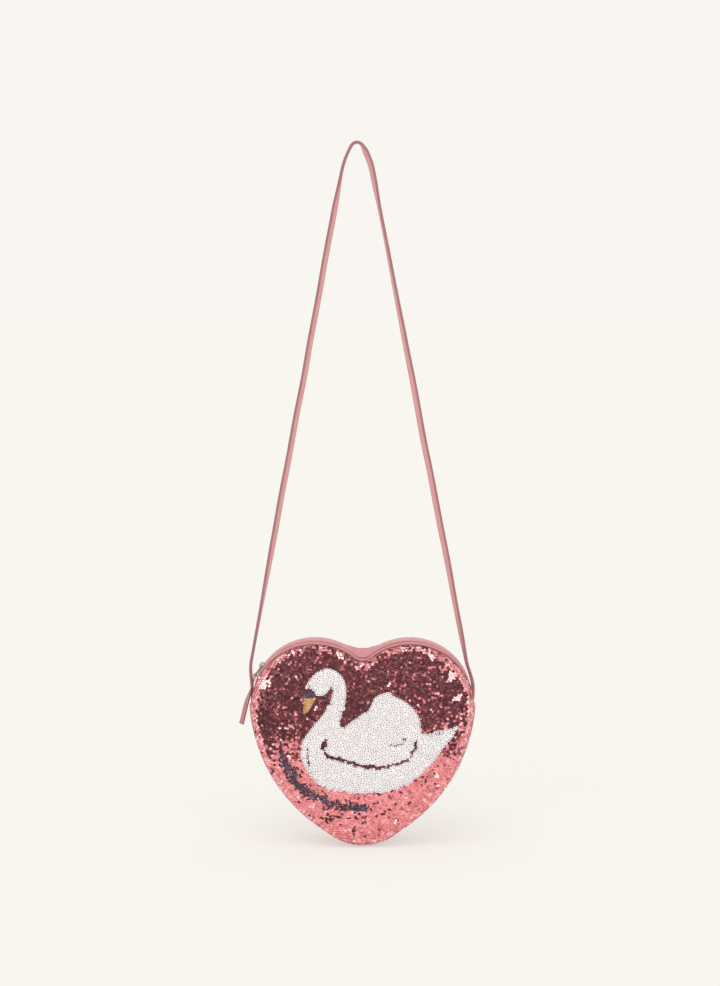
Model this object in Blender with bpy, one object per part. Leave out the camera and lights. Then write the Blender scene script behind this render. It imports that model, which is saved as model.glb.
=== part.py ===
"""Heart-shaped shoulder bag with a zip in its gusset, hanging by its strap.

The bag is drawn in its own frame: front face towards -Y, X to the right of that face, Z up from the heart's
tip. An empty places it below the strap's hanging point, which is the origin of the whole part.
"""

import math

import bmesh
import bpy
from mathutils import Vector

# Heart outline, as seen from the front
HEART_WIDTH = 0.178
HEART_HEIGHT = 0.162
LOBE_RADIUS = HEART_WIDTH * 0.2865
NOTCH_DEPTH = HEART_WIDTH * 0.0747
TIP_RADIUS = HEART_WIDTH * 0.25
TIP_SLOPE = math.radians(36) * (HEART_HEIGHT / HEART_WIDTH / 0.91011) ** 1.4
SIDE_JOIN = math.radians(5.6)

# Gusset, which keeps the two panels apart
GUSSET_WIDTH = 0.037
GUSSET_THICKNESS = 0.001
GUSSET_CROWN = 0.0004
FOAM_THICKNESS = 0.002
LINING_THICKNESS = 0.0004
CLEARANCE = 0.0003

# Behind the zip the gusset spans the notch, so that the back panel's notch is shallower
BRIDGE_RISE = 0.0047
BRIDGE_REACH = 0.018
BRIDGE_START = 0.0045
BRIDGE_STEPS = 4

# Panels: a rolled border and a shallow dome
BORDER_RADIUS = 0.0042
BORDER_RISE = 0.0014
BORDER_INSET = 0.0012
COVER_THICKNESS = 0.0008
FLANGE_REACH = 0.0031
FRONT_CROWN = 0.0025
BACK_CROWN = 0.001
DOME_REACH = 0.034
BINDING_THICKNESS = 0.0008
BINDING_DEPTH = 0.0018

# Side seams and side tabs
POCKET_LENGTH = 0.024
POCKET_EASE = 0.010
HEM_LENGTH = 0.002
HEM_MOUTH_EASE = 0.0004
SEAM_TO_STRAP = 0.001
TAB_THICKNESS = 0.0008
TAB_ANGLE = math.radians(27)
TAB_EASE_ANGLE = math.radians(20)

# Strap
STRAP_WIDTH = 0.007
STRAP_THICKNESS = 0.0022
STRAP_CHAMFER = 0.0005
STRAP_SEWN_LENGTH = 0.022
LOOP_HEIGHT = 0.4442
LOOP_TOP_RADIUS = 0.0039
SHOULDER_RADIUS = 0.070
SHOULDER_TURN = math.radians(30)
LEAN_OUT = math.radians(7)
SIDE_BEND_RADIUS = 0.095
SWAY_LOW = 0.0029
SWAY_TOP = 0.0044
SWAY_START = 0.012
SWAY_RISE = 0.022
LEG_STEPS = 20
SHOULDER_STEPS = 3

# Twist of each leg: (share of the height from the fold line to the loop's top, degrees)
LEFT_TWIST = ((0.0, 0), (0.04, 0), (0.27, 27), (0.87, 27), (0.95, 2), (1.0, 0))
RIGHT_TWIST = ((0.0, 0), (0.27, 31), (0.48, 31), (0.87, 9), (0.935, 26), (0.98, 28), (1.0, 0))
STITCH_THICKNESS = 0.0004
STITCH_GAP = 0.00012
STITCH_START = 0.006
STITCH_LENGTH = 0.0115
STITCH_MARGIN = 0.0009

# Zip, set towards the front so that its pull swings past the strap
ZIP_OFFSET = -0.0074
ZIP_GAP_HALF = 0.0046
TAPE_WIDTH = 0.009
TAPE_THICKNESS = 0.0004
TAPE_TUCK = 0.004
TOOTH_PITCH = 0.0025
TOOTH_REACH = 0.0023
TOOTH_ROOT = 0.0012
TOOTH_MESH = 0.0006
TOOTH_THICKNESS = 0.0018
ZIP_LINING_GAP_HALF = 0.006
STOP_LENGTH = 0.0011
STOP_WIDTH = 0.002

# Slider, ring and pull tab
SLIDER_ANGLE = math.radians(35)
SLIDER_LENGTH = 0.010
SLIDER_WIDTH = 0.0076
WING_THICKNESS = 0.0011
WING_GAP = 0.00035
SLIDER_WALL = 0.0008
NECK_LENGTH = 0.003
NECK_WIDTH = 0.0018
BRIDGE_LENGTH = 0.0048
BRIDGE_WIDTH = 0.0018
BRIDGE_WALL = 0.001
RING_WIRE_RADIUS = 0.0006
RING_WIDTH = 0.007
RING_REACH = 0.0095
RING_CORNER = 0.001
PULL_WIDTH = 0.0042
PULL_LENGTH = 0.041
PULL_THICKNESS = 0.0012
PULL_DROP = math.radians(19)
PULL_TWIST = math.radians(50)
PULL_TWIST_START = 0.010
PULL_TWIST_END = 0.040

# Sequin motif on the front
MOTIF_THICKNESS = 0.0007
RIPPLE_WIDTH = 0.0062
RIPPLE_TAPER = 0.25

ARC_STEP = math.radians(11.5)
CURL_STEP = math.radians(13)


def clear_scene():
    for item in list(bpy.data.objects):
        bpy.data.objects.remove(item, do_unlink=True)


def make_material(name, color, roughness, metallic=0.0):
    material = bpy.data.materials.new(name)
    material.use_nodes = True
    shader = material.node_tree.nodes["Principled BSDF"]
    shader.inputs["Base Color"].default_value = (*color, 1.0)
    shader.inputs["Roughness"].default_value = roughness
    shader.inputs["Metallic"].default_value = metallic
    material.diffuse_color = (*color, 1.0)
    return material


def make_empty(name, location, rotation=(0, 0, 0), parent=None):
    empty = bpy.data.objects.new(name, None)
    empty.empty_display_size = 0.01
    empty.location = location
    empty.rotation_euler = rotation
    empty.parent = parent
    bpy.context.scene.collection.objects.link(empty)
    return empty


def make_object(name, bm, material, parent, smooth=35):
    """Turns a finished bmesh into a named object with outward faces."""
    bmesh.ops.recalc_face_normals(bm, faces=bm.faces)
    mesh = bpy.data.meshes.new(name)
    bm.to_mesh(mesh)
    bm.free()
    mesh.shade_smooth()
    mesh.set_sharp_from_angle(angle=math.radians(smooth))
    mesh.materials.append(material)
    item = bpy.data.objects.new(name, mesh)
    item.parent = parent
    bpy.context.scene.collection.objects.link(item)
    return item


def make_helper(name, bm, parent):
    """A cutter or an addition that a Boolean reads and the part leaves out."""
    item = make_object(name, bm, make_material(name, (0.5, 0.5, 0.5), 0.5), parent)
    item.hide_render = True
    item.display_type = "WIRE"
    return item


def add_boolean(item, helper, operation):
    modifier = item.modifiers.new(helper.name, "BOOLEAN")
    modifier.operation = operation
    modifier.object = helper
    modifier.solver = "EXACT"


def loft(bm, loops, wrap=False):
    """Joins closed loops of points one after the other, and caps both ends unless the row wraps."""
    rows = [[bm.verts.new(point) for point in loop] for loop in loops]
    pairs = list(zip(rows, rows[1:]))
    if wrap:
        pairs.append((rows[-1], rows[0]))
    for low, high in pairs:
        for i in range(len(low)):
            j = (i + 1) % len(low)
            bm.faces.new((low[i], low[j], high[j], high[i]))
    if not wrap:
        bm.faces.new(rows[0])
        bm.faces.new(rows[-1])


def extrude_outline(bm, outline, low, high, place):
    """A prism of a flat outline, whose two ends stand at low and high along the direction that place gives."""
    loft(bm, [[place(a, b, level) for a, b in outline] for level in (low, high)])


def box_points(x0, x1, z0, z1):
    return [(x0, z0), (x1, z0), (x1, z1), (x0, z1)]


class Outline:
    """The heart's outline as tangent arcs, walked by length from the tip over the right side to the notch."""

    def __init__(self):
        self.lobe_x = HEART_WIDTH / 2 - LOBE_RADIUS
        self.lobe_z = HEART_HEIGHT - LOBE_RADIUS
        self.notch_radius = (self.lobe_x**2 + NOTCH_DEPTH**2) / (2 * NOTCH_DEPTH) - LOBE_RADIUS
        notch_z = HEART_HEIGHT - NOTCH_DEPTH + self.notch_radius
        lobe_end = math.pi - math.atan2(notch_z - self.lobe_z, self.lobe_x)
        side_start = TIP_SLOPE - math.pi / 2
        across = (math.cos(side_start), math.sin(side_start))
        join = (math.cos(SIDE_JOIN), -math.sin(SIDE_JOIN))
        tangent_at = TIP_RADIUS * (1 - math.cos(TIP_SLOPE))
        lobe_at = across[0] * self.lobe_x + across[1] * self.lobe_z
        along = across[0] * join[0] + across[1] * join[1]
        side_radius = (tangent_at - lobe_at - LOBE_RADIUS * along) / (1 - along)
        side_x = self.lobe_x + (LOBE_RADIUS - side_radius) * join[0]
        side_z = self.lobe_z + (LOBE_RADIUS - side_radius) * join[1]
        self.pieces = []
        self.length = 0.0
        self.add_arc(0, TIP_RADIUS, TIP_RADIUS, -math.pi / 2, side_start)
        tip_end = (TIP_RADIUS * across[0], TIP_RADIUS * (1 + across[1]))
        side_from = (side_x + side_radius * across[0], side_z + side_radius * across[1])
        self.add_line(tip_end, side_from, across)
        self.add_arc(side_x, side_z, side_radius, side_start, -SIDE_JOIN)
        self.widest = self.length + LOBE_RADIUS * SIDE_JOIN
        self.add_arc(self.lobe_x, self.lobe_z, LOBE_RADIUS, -SIDE_JOIN, lobe_end)
        self.add_arc(0, notch_z, self.notch_radius, lobe_end - math.pi, -math.pi / 2)

    def add_arc(self, x, z, radius, start, end):
        length = radius * abs(end - start)
        steps = max(1, math.ceil(abs(end - start) / ARC_STEP))
        self.pieces.append((self.length, length, "arc", (x, z, radius, start, end), steps))
        self.length += length

    def add_line(self, start, end, normal):
        length = math.dist(start, end)
        self.pieces.append((self.length, length, "line", (start, end, normal), 2))
        self.length += length

    def place(self, s, inset=0.0):
        """The point and the outward normal at length s, moved inwards by inset."""
        whole = 2 * self.length
        s = s % whole
        side = 1
        if s > self.length:
            s = whole - s
            side = -1
        for start, length, kind, data, _ in self.pieces:
            if s <= start + length + 1e-9:
                share = (s - start) / length
                break
        if kind == "line":
            first, last, normal = data
            x = first[0] + (last[0] - first[0]) * share
            z = first[1] + (last[1] - first[1]) * share
        else:
            cx, cz, radius, a, b = data
            angle = a + (b - a) * share
            normal = (math.cos(angle), math.sin(angle))
            x = cx + radius * normal[0]
            z = cz + radius * normal[1]
            if b < a:
                normal = (-normal[0], -normal[1])
        x -= inset * normal[0]
        z -= inset * normal[1]
        return (side * x, z), (side * normal[0], normal[1])

    def marks(self, extra):
        """Lengths all round the heart that every layer shares, so that facets stay parallel."""
        half = set()
        for start, length, _, _, steps in self.pieces:
            for i in range(steps + 1):
                half.add(round(start + length * i / steps, 6))
        half.update(round(s, 6) for s in extra)
        ordered = sorted(half)
        kept = [ordered[0]]
        for s in ordered[1:]:
            if s - kept[-1] > 0.0008 or s in [round(e, 6) for e in extra]:
                kept.append(s)
        whole = 2 * self.length
        other = [whole - s for s in kept[1:-1]]
        return sorted(kept + other)

    def span(self, first, last):
        """The shared lengths from first to last, both included, past the tip where first is negative."""
        whole = 2 * self.length
        near = 0.0004
        inner = []
        for turn in (-whole, 0.0):
            inner += [s + turn for s in self.shared if first + near < s + turn < last - near]
        return [first] + sorted(inner) + [last]


heart = Outline()
tab_end = heart.widest + LOBE_RADIUS * TAB_ANGLE
tab_eased = heart.widest + LOBE_RADIUS * TAB_EASE_ANGLE
pocket_start = heart.widest - POCKET_LENGTH
pocket_eased = pocket_start - POCKET_EASE
heart.shared = heart.marks([tab_end, tab_eased, heart.widest, pocket_start, pocket_eased])
whole_length = 2 * heart.length

# Depths below the gusset's outer surface, one layer under the other
pocket_depth = GUSSET_THICKNESS + CLEARANCE
tab_inset = STRAP_THICKNESS + CLEARANCE
foam_inset = GUSSET_THICKNESS + CLEARANCE
lining_inset = max(foam_inset + FOAM_THICKNESS, tab_inset + TAB_THICKNESS) + CLEARANCE
tape_inset = GUSSET_THICKNESS + CLEARANCE
zip_lining_inset = tape_inset + TAPE_THICKNESS + CLEARANCE
tape_edge = TOOTH_REACH + CLEARANCE
half_gusset = GUSSET_WIDTH / 2
band_half = half_gusset - CLEARANCE / 2


def ease(value, low, high):
    """0 below low, 1 above high, and a smooth step between."""
    share = min(max((value - low) / (high - low), 0.0), 1.0)
    return share * share * (3 - 2 * share)


def beside_seam(s):
    """How far a length is from the tip, on either side."""
    s = abs(s)
    return min(s, whole_length - s)


def bridge(s, y):
    """How far the gusset and the back panel stand out of the notch."""
    near = 1 - ease(heart.length - beside_seam(s), 0.0, BRIDGE_REACH)
    share = min(max((y - BRIDGE_START) / (half_gusset - BRIDGE_START), 0.0), 1.0)
    return BRIDGE_RISE * near * share


def make_band(name, first, last, section, material, parent):
    """A strip along the outline. section gives its corners at a length, as (y, inset)."""
    bm = bmesh.new()
    loops = []
    for s in heart.span(first, last):
        loop = []
        for y, inset in section(s):
            (x, z), _ = heart.place(s, inset - bridge(s, y))
            loop.append((x, y, z))
        loops.append(loop)
    loft(bm, loops)
    return make_object(name, bm, material, parent)


def flat_section(y0, y1, outer, thickness):
    """A strip's four corners, and more in each face where it rises over the notch."""
    rise = [BRIDGE_START + (half_gusset - BRIDGE_START) * i / BRIDGE_STEPS for i in range(BRIDGE_STEPS)]
    places = [y0] + [y for y in rise if y0 + CLEARANCE < y < y1 - CLEARANCE] + [y1]
    return [(y, outer) for y in places] + [(y, outer + thickness) for y in places[::-1]]


def add_block(bm, s, length, y0, y1, outer, inner):
    """A small block that stands on the outline, square to it."""
    (x, z), (nx, nz) = heart.place(s)
    middle = Vector((x, 0, z))
    normal = Vector((nx, 0, nz))
    along = Vector((-nz, 0, nx))
    loops = []
    for inset in (outer, inner):
        loop = []
        for reach, y in ((-1, y0), (1, y0), (1, y1), (-1, y1)):
            loop.append(middle + along * (reach * length / 2) + Vector((0, y, 0)) - normal * inset)
        loops.append(loop)
    loft(bm, loops)


def border_point(radius, angle):
    """A point of the rolled border, as (inset, height over the seam plane)."""
    middle = BORDER_INSET + BORDER_RADIUS
    return middle - radius * math.cos(angle), BORDER_RISE + radius * math.sin(angle)


def border_start(radius, height):
    """The angle at which a rolled border of this radius reaches a height."""
    return math.asin((height - BORDER_RISE) / radius)


def dome_height(inset, crown):
    low = BORDER_INSET + BORDER_RADIUS
    share = min(max((inset - low) / (DOME_REACH - low), 0.0), 1.0)
    return BORDER_RISE + BORDER_RADIUS + crown * (1 - (1 - share) ** 2)


dome_insets = (DOME_REACH, 0.024, 0.016, 0.010)
roll_angles = (math.radians(78), math.radians(50), math.radians(25))


def heart_loop(inset, height, side):
    """The outline at an inset, standing at a height outside the gusset on one side of the bag."""
    row = [heart.place(s, inset - bridge(s, side * half_gusset))[0] for s in heart.shared]
    return [(x, side * (half_gusset + height), z) for x, z in row]


def rolled_profile(drop, crown, start_height):
    """From the dome's middle out to the border: (inset, height), moved in by drop."""
    radius = BORDER_RADIUS - drop
    profile = [(inset, dome_height(inset, crown) - drop) for inset in dome_insets]
    profile += [border_point(radius, angle) for angle in roll_angles]
    profile.append(border_point(radius, border_start(radius, start_height)))
    return profile


def make_panel(prefix, side, crown, cover_material, colors, parent):
    """Cover, padding, lining and seam binding of one panel."""
    seam = CLEARANCE / 2
    flange_edge = BORDER_INSET + FLANGE_REACH
    outer = rolled_profile(0.0, crown, seam)
    inner = rolled_profile(COVER_THICKNESS, crown, seam + COVER_THICKNESS)
    flange = [(flange_edge, seam), (flange_edge, seam + COVER_THICKNESS)]
    bm = bmesh.new()
    loft(bm, [heart_loop(*point, side) for point in outer + flange + inner[::-1]])
    make_object(f"{prefix}_cover", bm, cover_material, parent)

    back = seam + COVER_THICKNESS + CLEARANCE
    bm = bmesh.new()
    loft(bm, [heart_loop(*point, side) for point in rolled_profile(COVER_THICKNESS + CLEARANCE, crown, back)])
    make_object(f"{prefix}_padding", bm, colors["foam"], parent)

    binding_inset = flange_edge + CLEARANCE
    binding_end = back - CLEARANCE
    binding_start = binding_end - BINDING_DEPTH
    bm = bmesh.new()
    loops = []
    for s in heart.shared:
        loop = []
        for height, inset in flat_section(binding_start, binding_end, binding_inset, BINDING_THICKNESS):
            (x, z), _ = heart.place(s, inset - bridge(s, side * half_gusset))
            loop.append((x, side * (half_gusset + height), z))
        loops.append(loop)
    loft(bm, loops, wrap=True)
    make_object(f"{prefix}_seam_binding", bm, colors["lining"], parent)

    lining_edge = binding_inset + BINDING_THICKNESS + CLEARANCE
    lining_front = back - CLEARANCE
    bm = bmesh.new()
    loft(bm, [heart_loop(lining_edge, lining_front - level, side) for level in (0.0, LINING_THICKNESS)])
    make_object(f"{prefix}_lining", bm, colors["lining"], parent)


def pocket_rise(s):
    """How far the bottom gusset stands out over the sewn strap ends."""
    return pocket_depth * ease(beside_seam(s), pocket_eased, pocket_start)


def gusset_section(s):
    outer = -pocket_rise(s)
    crown = GUSSET_CROWN * (1 - ease(beside_seam(s), pocket_eased, pocket_start))
    inner = outer + GUSSET_THICKNESS
    return [
        (-band_half, outer),
        (-band_half / 2, outer - crown * 0.75),
        (0.0, outer - crown),
        (band_half / 2, outer - crown * 0.75),
        (band_half, outer),
        (band_half, inner),
        (-band_half, inner),
    ]


def tab_section(s):
    outer = tab_inset * (1 - ease(beside_seam(s), heart.widest, tab_eased))
    return flat_section(-band_half, band_half, outer, TAB_THICKNESS)


def make_gusset(colors, parent):
    """Bottom gusset with its hemmed ends, foam and lining, and the two side tabs."""
    gusset = make_band("bottom_gusset", -heart.widest, heart.widest, gusset_section, colors["shell"], parent)
    bm = bmesh.new()
    mouth = STRAP_WIDTH / 2 + HEM_MOUTH_EASE
    hem_middle = heart.widest - 0.7 * HEM_LENGTH
    for s in (hem_middle, -hem_middle):
        for y0, y1 in ((-band_half + CLEARANCE, -mouth), (mouth, band_half - CLEARANCE)):
            add_block(bm, s, HEM_LENGTH, y0, y1, GUSSET_THICKNESS / 2 - pocket_depth, tab_inset - CLEARANCE)
    add_boolean(gusset, make_helper("gusset_hems", bm, parent), "UNION")

    foam_end = pocket_start - CLEARANCE
    make_band(
        "gusset_foam",
        -foam_end,
        foam_end,
        lambda s: flat_section(-band_half, band_half, foam_inset, FOAM_THICKNESS),
        colors["foam"],
        parent,
    )
    lining_end = tab_end - STOP_LENGTH
    make_band(
        "gusset_lining",
        -lining_end,
        lining_end,
        lambda s: flat_section(-band_half, band_half, lining_inset, LINING_THICKNESS),
        colors["lining"],
        parent,
    )
    make_band("side_tab_right", pocket_start, tab_end, tab_section, colors["shell"], parent)
    make_band("side_tab_left", -tab_end, -pocket_start, tab_section, colors["shell"], parent)


def beside_zip(side, near, far):
    """Places across the gusset, measured from the zip's line and kept inside the seam."""
    return ZIP_OFFSET + side * near, max(min(ZIP_OFFSET + side * far, band_half), -band_half)


def make_zip(colors, parent):
    """Strips, tapes, lining beside the zip, teeth and stops, from tab to tab over both lobes."""
    strip_start = tab_end + CLEARANCE
    tape_start = tab_end - TAPE_TUCK
    for prefix, side in (("front", -1), ("back", 1)):
        strip = beside_zip(side, ZIP_GAP_HALF, GUSSET_WIDTH)
        tape = beside_zip(side, tape_edge, tape_edge + TAPE_WIDTH)
        inner = beside_zip(side, ZIP_LINING_GAP_HALF, GUSSET_WIDTH)
        for label, start, (y0, y1), outer, thickness, material in (
            ("zip_strip", strip_start, strip, 0.0, GUSSET_THICKNESS, colors["shell"]),
            ("zip_tape", tape_start, tape, tape_inset, TAPE_THICKNESS, colors["tape"]),
            ("zip_lining", tape_start, inner, zip_lining_inset, LINING_THICKNESS, colors["lining"]),
        ):
            make_band(
                f"{label}_{prefix}",
                start,
                whole_length - start,
                lambda s: flat_section(y0, y1, outer, thickness),
                material,
                parent,
            )
    make_teeth(colors, parent)


def make_teeth(colors, parent):
    """Two toothed coils that mesh between the bottom stop and the slider, and part round the slider's neck."""
    middle = tape_inset + TAPE_THICKNESS / 2
    outer = middle - TOOTH_THICKNESS / 2
    inner = middle + TOOTH_THICKNESS / 2
    stop_middle = tab_end + CLEARANCE + STOP_LENGTH / 2
    first = stop_middle + STOP_LENGTH / 2 + CLEARANCE
    last = whole_length - first
    slider_middle = whole_length - heart.widest - LOBE_RADIUS * SLIDER_ANGLE
    neck = slider_middle + SLIDER_LENGTH / 2 - NECK_LENGTH - 2 * CLEARANCE
    meshed = int((neck - first) / TOOTH_PITCH)
    for prefix, side in (("front", -1), ("back", 1)):
        bm = bmesh.new()
        loops = []
        stations = [first + i * TOOTH_PITCH / 2 for i in range(2 * meshed + 1)]
        stations += [neck, (neck + last) / 2, last]
        for i, s in enumerate(stations):
            reach = TOOTH_MESH if (i + (side > 0)) % 2 else -TOOTH_MESH - CLEARANCE
            if s >= neck:
                reach = -TOOTH_ROOT
            loop = []
            for y, inset in flat_section(-side * reach, side * TOOTH_REACH, outer, inner - outer):
                (x, z), _ = heart.place(s, inset)
                loop.append((x, ZIP_OFFSET + y, z))
            loops.append(loop)
        loft(bm, loops)
        make_object(f"zip_teeth_{prefix}", bm, colors["teeth"], parent)

        bm = bmesh.new()
        y0, y1 = sorted((ZIP_OFFSET + side * tape_edge, ZIP_OFFSET + side * (tape_edge + STOP_WIDTH)))
        add_block(bm, whole_length - stop_middle, STOP_LENGTH, y0, y1, outer, tape_inset - CLEARANCE)
        make_object(f"zip_top_stop_{prefix}", bm, colors["metal"], parent)

    bm = bmesh.new()
    add_block(bm, stop_middle, STOP_LENGTH, ZIP_OFFSET - TOOTH_REACH, ZIP_OFFSET + TOOTH_REACH, outer, inner)
    make_object("zip_bottom_stop", bm, colors["metal"], parent)


class StrapPath:
    """The strap's centre line on the right side, from its sewn end to the top of the loop."""

    def __init__(self):
        self.anchor_x = HEART_WIDTH / 2 - STRAP_THICKNESS / 2
        self.anchor_z = heart.lobe_z + SEAM_TO_STRAP
        self.bend_x = self.anchor_x - SIDE_BEND_RADIUS * math.cos(LEAN_OUT)
        self.bend_z = self.anchor_z + SIDE_BEND_RADIUS * math.sin(LEAN_OUT)
        self.top_radius = LOOP_TOP_RADIUS + STRAP_THICKNESS / 2
        self.hang_z = self.anchor_z + LOOP_HEIGHT
        self.top_z = self.hang_z - LOOP_TOP_RADIUS
        shoulder_offset = self.top_radius - SHOULDER_RADIUS
        self.shoulder_x = shoulder_offset * math.cos(SHOULDER_TURN)
        self.shoulder_z = self.top_z + shoulder_offset * math.sin(SHOULDER_TURN)
        across = self.shoulder_x - self.bend_x
        rise = self.shoulder_z - self.bend_z
        turn = math.acos((SIDE_BEND_RADIUS - SHOULDER_RADIUS) / math.hypot(across, rise))
        self.lean_in = math.atan2(rise, across) - turn
        self.fold = self.bend_point(self.lean_in)
        self.apex_z = self.top_z + self.top_radius

    def sway(self, z):
        """How far the loop hangs to the left of the heart's axis, most of it within a short rise."""
        above = z - self.anchor_z
        lean = SWAY_LOW * ease(above, SWAY_START, SWAY_START + SWAY_RISE)
        share = min(max(above / LOOP_HEIGHT, 0.0), 1.0)
        return -lean - (SWAY_TOP - SWAY_LOW) * share

    def bend_point(self, angle):
        x = self.bend_x + SIDE_BEND_RADIUS * math.cos(angle)
        z = self.bend_z + SIDE_BEND_RADIUS * math.sin(angle)
        return x, z

    def bend(self, first, last, steps):
        """Points with their inward normals along the bend above the seam."""
        points = []
        for i in range(steps + 1):
            angle = first + (last - first) * i / steps
            points.append((self.bend_point(angle), (-math.cos(angle), -math.sin(angle))))
        return points

    def leg(self, steps):
        """Points along the straight leg, from the bend to the shoulder of the loop."""
        normal = (-math.cos(self.lean_in), -math.sin(self.lean_in))
        end = (self.shoulder_x - SHOULDER_RADIUS * normal[0], self.shoulder_z - SHOULDER_RADIUS * normal[1])
        points = []
        for i in range(1, steps + 1):
            share = i / steps
            x = self.fold[0] + (end[0] - self.fold[0]) * share
            z = self.fold[1] + (end[1] - self.fold[1]) * share
            points.append(((x, z), normal))
        return points

    def shoulder(self, steps):
        """Points of the wide arc that draws the leg in towards the top."""
        points = []
        for i in range(1, steps + 1):
            angle = self.lean_in + (SHOULDER_TURN - self.lean_in) * i / steps
            normal = (-math.cos(angle), -math.sin(angle))
            x = self.shoulder_x - SHOULDER_RADIUS * normal[0]
            z = self.shoulder_z - SHOULDER_RADIUS * normal[1]
            points.append(((x, z), normal))
        return points

    def top(self):
        """Points of the top arc, from the right shoulder over to the left one."""
        points = []
        sweep = math.pi - 2 * SHOULDER_TURN
        steps = math.ceil(sweep / CURL_STEP)
        for i in range(1, steps):
            angle = SHOULDER_TURN + sweep * i / steps
            normal = (-math.cos(angle), -math.sin(angle))
            x = -self.top_radius * normal[0]
            z = self.top_z - self.top_radius * normal[1]
            points.append(((x, z), normal))
        return points


strap_path = StrapPath()


def leg_twist(x, z):
    """The twist at a point of the loop, read from its leg's table with smooth steps."""
    table = RIGHT_TWIST if x > 0 else LEFT_TWIST
    share = (z - strap_path.fold[1]) / (strap_path.apex_z - strap_path.fold[1])
    for (low, first), (high, last) in zip(table, table[1:]):
        if share <= high:
            return math.radians(first + (last - first) * ease(share, low, high))
    return 0.0


def strap_section(point, normal, twist, half_width):
    """A chamfered strap section. The twist turns the loop's inner face towards the front."""
    (x, z), (nx, nz) = point, normal
    middle = Vector((x + strap_path.sway(z), 0, z))
    inward = Vector((nx, 0, nz))
    across = Vector((0, 1, 0))
    wide = across * math.cos(twist) + inward * math.sin(twist)
    thick = inward * math.cos(twist) - across * math.sin(twist)
    half = STRAP_THICKNESS / 2
    corner = min(STRAP_CHAMFER, half_width / 2)
    corners = (
        (-half_width + corner, -half),
        (half_width - corner, -half),
        (half_width, -half + corner),
        (half_width, half - corner),
        (half_width - corner, half),
        (-half_width + corner, half),
        (-half_width, half - corner),
        (-half_width, -half + corner),
    )
    return [middle + wide * a + thick * b for a, b in corners]


def mirror_row(row):
    return [((-x, z), (-nx, nz)) for (x, z), (nx, nz) in reversed(row)]


def make_strap(colors, parent):
    """The free loop. Each foot is a round tongue about the fold line, so that the bag can swing on it."""
    half = STRAP_WIDTH / 2
    tangent = (-math.sin(strap_path.lean_in), math.cos(strap_path.lean_in))
    inward = (-math.cos(strap_path.lean_in), -math.sin(strap_path.lean_in))
    foot = []
    foot_widths = []
    for degrees in (80, 60, 40, 20, 0):
        angle = math.radians(degrees)
        down = half * math.sin(angle)
        point = (strap_path.fold[0] - tangent[0] * down, strap_path.fold[1] - tangent[1] * down)
        foot.append((point, inward))
        foot_widths.append(half * math.cos(angle))
    leg = strap_path.leg(LEG_STEPS) + strap_path.shoulder(SHOULDER_STEPS)
    top = strap_path.top()
    row = foot + leg + top + mirror_row(foot + leg)
    widths = foot_widths + [half] * (len(leg) + len(top))
    widths += (foot_widths + [half] * len(leg))[::-1]
    bm = bmesh.new()
    loft(bm, [strap_section(p, n, leg_twist(*p), w) for (p, n), w in zip(row, widths)])
    make_object("strap", bm, colors["strap"], parent)


def make_strap_ends(colors, parent):
    """The sewn ends: each runs under the hem of the bottom gusset and up to just below the fold line."""
    half = STRAP_WIDTH / 2
    row = []
    for s in heart.span(heart.widest - STRAP_SEWN_LENGTH, heart.widest):
        point, (nx, nz) = heart.place(s, STRAP_THICKNESS / 2)
        row.append((point, (-nx, -nz)))
    tongue_gap = (half + CLEARANCE) / SIDE_BEND_RADIUS
    row += strap_path.bend(-LEAN_OUT, strap_path.lean_in - tongue_gap, 8)
    for name, side_row in (("strap_end_right", row), ("strap_end_left", mirror_row(row))):
        bm = bmesh.new()
        loft(bm, [strap_section(p, n, 0.0, half) for p, n in side_row])
        make_object(name, bm, colors["strap"], parent)
    for name, side in (("strap_stitches_right", 1), ("strap_stitches_left", -1)):
        make_stitches(name, side, colors, parent)


def make_stitches(name, side, colors, parent):
    """A closed rectangle of thread over one sewn strap end."""
    half = STITCH_THICKNESS / 2
    width = STRAP_WIDTH / 2 - STITCH_MARGIN
    low = heart.widest - STITCH_START - STITCH_LENGTH
    high = heart.widest - STITCH_START
    sides = heart.span(low, high)[1:-1]
    path = [(low, -half, -1)] + [(s, 0.0, -1) for s in sides] + [(high, half, -1)]
    path += [(s, -shift, 1) for s, shift, _ in reversed(path)]
    bm = bmesh.new()
    loops = []
    for s, shift, edge in path:
        along = shift * edge * -1
        loop = []
        for reach, depth in ((1, 0), (1, 1), (-1, 1), (-1, 0)):
            inset = -pocket_depth - STITCH_GAP - depth * STITCH_THICKNESS
            (x, z), _ = heart.place(side * (s + along * reach), inset)
            loop.append((x, edge * (width + half * reach), z))
        loops.append(loop)
    loft(bm, loops, wrap=True)
    make_object(name, bm, colors["thread"], parent)


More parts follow.
